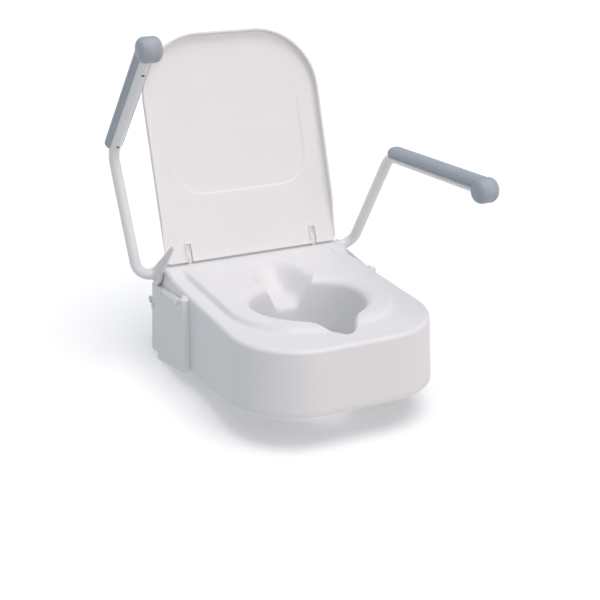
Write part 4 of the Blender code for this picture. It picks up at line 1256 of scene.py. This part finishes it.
# %% Stop levers and collars
LEVER_INNER_X = 0.1946
LEVER_OUTER_X = 0.2016
LEVER_LENGTH = 0.1292
LEVER_HUB_RADIUS = 0.016
LEVER_HUB_RISE = 0.002
LEVER_FOOT = 0.020
LEVER_EDGE = 0.0013
LEVER_BLADE = [
    (0.0017 - LEVER_LENGTH, 0.0085),
    (-LEVER_LENGTH, 0.0062),
    (-LEVER_LENGTH, 0.0010),
    (-0.0886, -0.0040),
    (-0.0280, -0.0090),
]
LEDGE_GAP = 0.0003
LEDGE_DROP = 0.0178
LEDGE_SLOPE = 0.125
ARM_TRAVEL = math.radians(55.0)
HEEL_LENGTH = 0.009
LEVER_TIP_THICKNESS = 0.0035


def ledge_drop(forward):
    """How far the cheek's ledge lies below the arm's pivot, at a distance forward of it."""
    return LEDGE_DROP - LEDGE_SLOPE * forward


lever_outline = arc((0.0, LEVER_HUB_RISE), LEVER_HUB_RADIUS, 15.0, 105.0, 16)
lever_outline += LEVER_BLADE + [(-LEVER_FOOT, -ledge_drop(LEVER_FOOT))]
slope = math.atan(LEDGE_SLOPE)
down = 270.0 - math.degrees(slope)
heel_radius = LEDGE_DROP * math.cos(slope) - LEDGE_GAP
heel = arc((0.0, 0.0), heel_radius, down, down + math.degrees(ARM_TRAVEL), 16)
heel_rise = ARM_TRAVEL - slope
heel_end = Vector(heel[-1]) + HEEL_LENGTH * Vector((math.cos(heel_rise), math.sin(heel_rise)))
lever_outline += heel + [tuple(heel_end)]
outline = [arm_axis + Vector((LEVER_INNER_X, y, z)) for y, z in lever_outline]
lever = slab("right_stop_blade", outline, (LEVER_OUTER_X - LEVER_INNER_X, 0.0, 0.0))
for corner in lever.data.vertices:
    forward = smooth_step((arm_axis.y - corner.co.y - LEVER_FOOT) / (LEVER_LENGTH - LEVER_FOOT))
    thinner = (LEVER_OUTER_X - LEVER_INNER_X - LEVER_TIP_THICKNESS) * forward
    if corner.co.x > LEVER_INNER_X + LEVER_TIP_THICKNESS:
        corner.co.x -= thinner
soften(lever, LEVER_EDGE)
dress_pair(lever, CHEEK_WHITE, "right_arm", "right_stop_lever")

COLLAR_START = LEVER_OUTER_X + 0.0001
COLLAR_BORE = TUBE_RADIUS + 0.0002
COLLAR_STEPS = 64
COLLAR_PROFILE = [
    (COLLAR_BORE, 0.0),
    (0.0128, 0.0),
    (0.0128, 0.0008),
    (0.0122, 0.0022),
    (0.0116, 0.0040),
    (0.0111, 0.0058),
    (COLLAR_BORE, 0.0060),
]
collar_profile = [(radius, COLLAR_START + distance) for radius, distance in COLLAR_PROFILE]
hub_height = Matrix.Translation(arm_axis + Vector((0.0, 0.0, TUBE_OFFSET)))
collar = turned("right_hub_collar", collar_profile, hub_height @ ALONG_X, COLLAR_STEPS)
dress_pair(collar, CHEEK_WHITE, "right_arm", "right_arm_collar")

# %% [markdown]
# ## Side cheeks
#
# A cheek covers the arm's pivot and the height rail. It is a plate with a sloping ledge on top, a rounded
# rib down its front edge, a sloping toothed strip under the ledge and a slot. Each part is softened by
# itself and then joined, so that outer edges are round while inner corners stay crisp, as in a moulding.

# %% Side cheeks
CHEEK_INNER_X = SEAT_HALF_WIDTH + 0.0003
CHEEK_OUTER_X = 0.2005
CHEEK_TAPER = 0.035
CHEEK_TAPER_TOP = SEAT_TOP - 0.040
CHEEK_EDGE = 0.0016
CHEEK_FRONT = -0.137
CHEEK_REAR = 0.0435
CHEEK_STEP = 0.009
RIB_WIDTH = 0.012
RIB_PROUD = 0.006
RIB_TOP = SEAT_TOP - 0.0095
RIB_FOOT = SEAT_TOP - 0.140
RIB_EDGE = 0.0045
JOIN_OVERLAP = 0.003
STRIP_PROUD = 0.004
STRIP_SLOPE = 0.65
STRIP_EDGE = 0.0006
STRIP_SHAPE = [
    (-0.004, 0.001),
    (-0.004, 0.011),
    (-0.014, 0.011),
    (-0.016, 0.006),
    (-0.090, 0.006),
    (-0.092, 0.011),
    (-0.102, 0.011),
    (-0.102, 0.001),
]
SLOT_TOP = SEAT_TOP - 0.0755
SLOT_FOOT = SEAT_TOP - 0.0825
SLOT_CUT = 0.020
SLOT_Y = 0.0325
SLOT_WIDTH = 0.007
SLOT_DEPTH = 0.004


def ledge(y):
    """Height of the cheek's ledge."""
    return arm_axis.z - ledge_drop(arm_axis.y - y) - LEDGE_GAP


def side_slab(name, outline, inner, outer):
    """A slab in the YZ plane between two distances from the middle."""
    return slab(name, [(inner, y, z) for y, z in outline], (outer - inner, 0.0, 0.0))


cheek_outline = [
    (CHEEK_REAR, ledge(CHEEK_REAR)),
    (-0.113, ledge(-0.113)),
    (-0.117, SEAT_TOP - 0.008),
    (-0.121, SEAT_TOP - 0.003),
    (-0.133, SEAT_TOP - 0.003),
    (CHEEK_FRONT, SEAT_TOP - 0.008),
    (CHEEK_FRONT, SEAT_TOP - 0.151),
    (-0.130, SEAT_TOP - 0.156),
    (CHEEK_STEP, SEAT_TOP - 0.186),
    (CHEEK_STEP, SEAT_TOP - 0.172),
    (CHEEK_REAR, SEAT_TOP - 0.177),
]
cheek = side_slab("right_cheek", cheek_outline, CHEEK_INNER_X, CHEEK_OUTER_X)
cheek_middle = (CHEEK_INNER_X + CHEEK_OUTER_X) / 2.0
for corner in cheek.data.vertices:
    if corner.co.x > cheek_middle:
        corner.co.x += CHEEK_TAPER * max(CHEEK_TAPER_TOP - corner.co.z, 0.0)
soften_outer(cheek, CHEEK_EDGE, cheek_middle)

rib_y = CHEEK_FRONT + RIB_WIDTH / 2.0
rib_outline = arc((rib_y, RIB_TOP), RIB_WIDTH / 2.0, 0.0, 180.0, 16)
rib_outline += arc((rib_y, RIB_FOOT), RIB_WIDTH / 2.0, 180.0, 360.0, 16)
rib = side_slab("rib", rib_outline, CHEEK_OUTER_X - JOIN_OVERLAP, CHEEK_OUTER_X + RIB_PROUD)
soften(rib, RIB_EDGE, 6)
carve(cheek, rib, "UNION")

strip_outline = [(y, ledge(y) - drop) for y, drop in STRIP_SHAPE]
strip = side_slab("strip", strip_outline, CHEEK_OUTER_X - JOIN_OVERLAP, CHEEK_OUTER_X + STRIP_PROUD)
for corner in strip.data.vertices:
    if corner.co.x > CHEEK_OUTER_X:
        corner.co.x = CHEEK_OUTER_X + STRIP_SLOPE * (ledge(corner.co.y) - corner.co.z)
soften(strip, STRIP_EDGE)
carve(cheek, strip, "UNION")

slot_outline = arc((SLOT_Y, SLOT_TOP), SLOT_WIDTH / 2.0, 0.0, 180.0, 8)
slot_outline += arc((SLOT_Y, SLOT_FOOT), SLOT_WIDTH / 2.0, 180.0, 360.0, 8)
carve(cheek, side_slab("slot", slot_outline, CHEEK_OUTER_X - SLOT_DEPTH, CHEEK_OUTER_X + SLOT_CUT))
dress_pair(cheek, CHEEK_WHITE, "seat", "right_side_cheek")

# %% [markdown]
# ## Lid posts
#
# A small post stands in each slot of the lid and carries its hinge pin. It leans back a little with the
# open lid, its top is round, and its stem goes down through the seat to a nut.

# %% Lid posts
POST_WIDTH = 0.0085
POST_HALF_DEPTH = 0.0050
POST_TOP_RADIUS = 0.0045
POST_TOP_RISE = 0.0095
POST_LEAN = 0.003
POST_GAP = 0.0003
POST_EDGE = 0.0016
STEM_RADIUS = 0.004
STEM_RISE = 0.004
STEM_DEPTH = 0.0135
lid_axis = axis_at["lid_hinge"]

post_front = lid_axis.y - POST_HALF_DEPTH
post_rear = lid_axis.y + POST_HALF_DEPTH
post_crown = (lid_axis.y + POST_LEAN, lid_axis.z + POST_TOP_RISE)
post_outline = arc(post_crown, POST_TOP_RADIUS, -10.0, 170.0, 20)
post_outline += [(post_front, lid_axis.z), (post_front, DECK + POST_GAP)]
post_outline += [(post_rear, DECK + POST_GAP), (post_rear, lid_axis.z)]
post = side_slab("right_hinge_post", post_outline, POST_X - POST_WIDTH / 2.0, POST_X + POST_WIDTH / 2.0)
soften(post, POST_EDGE)
stem_foot = (POST_X, lid_axis.y, DECK - STEM_DEPTH)
stem_top = (POST_X, lid_axis.y, DECK + STEM_RISE)
carve(post, rod("stem", stem_foot, stem_top, STEM_RADIUS), "UNION")
dress_pair(post, CHEEK_WHITE, "seat", "right_lid_post")

# %% [markdown]
# ## Fixings under the seat
#
# Two bolts hold the bracket down. Each has a domed head, a washer, a rubber cone that centres it in its
# hole, and a wing nut. All are turned. The thread on the bolt is drawn as a row of small ridges, which is
# how it looks at this size, and the wings are softened blocks joined to the nut.

# %% Fixings
FIXING_X = 0.0775
BASE_THICKNESS = 0.008
BOLT_RADIUS = 0.004
BOLT_LENGTH = 0.062
THREAD_PITCH = 0.00125
THREAD_DEPTH = 0.0006
THREAD_TOP = -0.012
FIXING_GAP = 0.0003
WASHER_RADIUS = 0.012
WASHER_THICKNESS = 0.0018
WASHER_EDGE = 0.0003
BOLT_HEAD = [
    (0.0, 0.0055),
    (0.0040, 0.0053),
    (0.0066, 0.0045),
    (0.0080, 0.0032),
    (0.0085, 0.0018),
    (0.0085, 0.0),
    (BOLT_RADIUS, 0.0),
]
CONE_TOP = -0.018
CONE_FOOT = -0.030
NUT_TOP = -0.0303
NUT_FOOT = -0.044
WING_SHAPE = [
    (0.0060, -0.033),
    (0.0150, -0.033),
    (0.0200, -0.040),
    (0.0200, -0.0455),
    (0.0175, -0.048),
    (0.0060, -0.042),
]
WING_HALF_THICKNESS = 0.0020
WING_EDGE = 0.0009
fixing = Matrix.Translation((FIXING_X, 0.0, 0.0))

washer_low = BASE_THICKNESS + FIXING_GAP
washer_high = washer_low + WASHER_THICKNESS
bore = BOLT_RADIUS + FIXING_GAP
washer_flat = WASHER_RADIUS - WASHER_EDGE
washer_profile = [
    (bore, washer_low),
    (washer_flat, washer_low),
    (WASHER_RADIUS, washer_low + WASHER_EDGE),
    (WASHER_RADIUS, washer_high - WASHER_EDGE),
    (washer_flat, washer_high),
    (bore, washer_high),
]
washer = turned("right_zinc_washer", washer_profile, fixing)
dress_pair(washer, ZINC, "bracket", "right_fixing_washer")

head = washer_high + FIXING_GAP
bolt_profile = [(radius, head + height) for radius, height in BOLT_HEAD]
bolt_profile += [(BOLT_RADIUS, THREAD_TOP)]
thread_z = THREAD_TOP
while thread_z - THREAD_PITCH > -BOLT_LENGTH:
    bolt_profile.append((BOLT_RADIUS - THREAD_DEPTH, thread_z - THREAD_PITCH * 0.5))
    bolt_profile.append((BOLT_RADIUS, thread_z - THREAD_PITCH))
    thread_z -= THREAD_PITCH
bolt_profile += [(BOLT_RADIUS - THREAD_DEPTH, -BOLT_LENGTH), (0.0, -BOLT_LENGTH)]
bolt = turned("right_zinc_bolt", bolt_profile, fixing, 32)
dress_pair(bolt, ZINC, "bracket", "right_fixing_bolt")

cone_profile = [(bore, CONE_TOP), (0.0084, CONE_TOP), (0.0092, -0.0186), (0.0146, -0.0292)]
cone_profile += [(0.0148, -0.0297), (0.0143, CONE_FOOT), (bore, CONE_FOOT)]
cone = turned("right_centring_cone", cone_profile, fixing)
dress_pair(cone, RUBBER, "bracket", "right_rubber_cone")

nut_profile = [(bore, NUT_TOP), (0.0097, NUT_TOP), (0.010, -0.0308), (0.010, -0.034)]
nut_profile += [(0.0072, -0.0436), (0.0068, NUT_FOOT), (bore, NUT_FOOT)]
wing_nut = turned("right_winged_nut", nut_profile, fixing)
for wing in (-1.0, 1.0):
    outline = [(FIXING_X + wing * reach, -WING_HALF_THICKNESS, z) for reach, z in WING_SHAPE]
    blade = slab("wing", outline, (0.0, 2.0 * WING_HALF_THICKNESS, 0.0))
    soften(blade, WING_EDGE)
    carve(wing_nut, blade, "UNION")
dress_pair(wing_nut, NYLON, "right_nut", "right_wing_nut")

# %% [markdown]
# ## Softened block pieces
#
# The bracket, rails, latches, blocks, feet, pins and hidden screws already have the right shape in the
# frame, but their edges are knife sharp and their meshes are loose triangles. A copy of each is welded, its
# flat faces are made whole again, and the edges of all but the bushes and the hidden screws get a small
# round.

# %% Softened block pieces
FLAT_ANGLE = math.radians(0.6)
NODE_WELD = 0.00001
BRACKET_EDGE = 0.0012


def softened_copy(node, name, width, segments=2):
    """A welded copy of a node's solid with its edges rounded."""
    pick(None)
    piece = bpy.data.objects.new(name, frame["nodes"][node].data.copy())
    piece.data.name = name
    bpy.context.scene.collection.objects.link(piece)
    pick(piece)
    bpy.ops.object.mode_set(mode="EDIT")
    bpy.ops.mesh.select_all(action="SELECT")
    bpy.ops.mesh.remove_doubles(threshold=NODE_WELD)
    bpy.ops.mesh.dissolve_limited(angle_limit=FLAT_ANGLE)
    bpy.ops.object.mode_set(mode="OBJECT")
    if width:
        soften(piece, width, segments)
    return piece


BLOCKS = [
    ("height_rail", "ribbed_rail", CHEEK_WHITE, "seat", 0.0008),
    ("pivot_block", "bearing_block", CHEEK_WHITE, "seat", 0.0010),
    ("front_foot", "plug_foot", CHEEK_WHITE, "seat", 0.0016),
    ("foot_pad", "rubber_sole", RUBBER, "seat", 0.0010),
    ("pivot_bush", "bearing_bush", NYLON, "seat", 0.0),
    ("lid_post_nut", "post_nut", NYLON, "seat", 0.0005),
    ("height_rail_screw_upper", "rail_screw_upper", ZINC, "seat", 0.0),
    ("height_rail_screw_lower", "rail_screw_lower", ZINC, "seat", 0.0),
    ("cheek_screw", "wall_screw", ZINC, "seat", 0.0),
    ("height_latch", "thumb_latch", CHEEK_WHITE, "{side}_latch", 0.0008),
    ("pivot_pin", "arm_pin", ZINC, "{side}_arm", 0.0004),
    ("pivot_nut", "arm_nut", ZINC, "{side}_arm", 0.0005),
    ("lid_pin", "hinge_pin", ZINC, "lid", 0.0003),
]
for node, name, finish, body, width in BLOCKS:
    for side in SIDES:
        block = softened_copy(f"{side}_{node}", f"{side}_{name}", width)
        dress(block, finish, body.format(side=side), f"{side}_{node}")
bracket = softened_copy("mounting_bracket", "base_bracket", BRACKET_EDGE)
dress(bracket, CHEEK_WHITE, "bracket", "mounting_bracket")
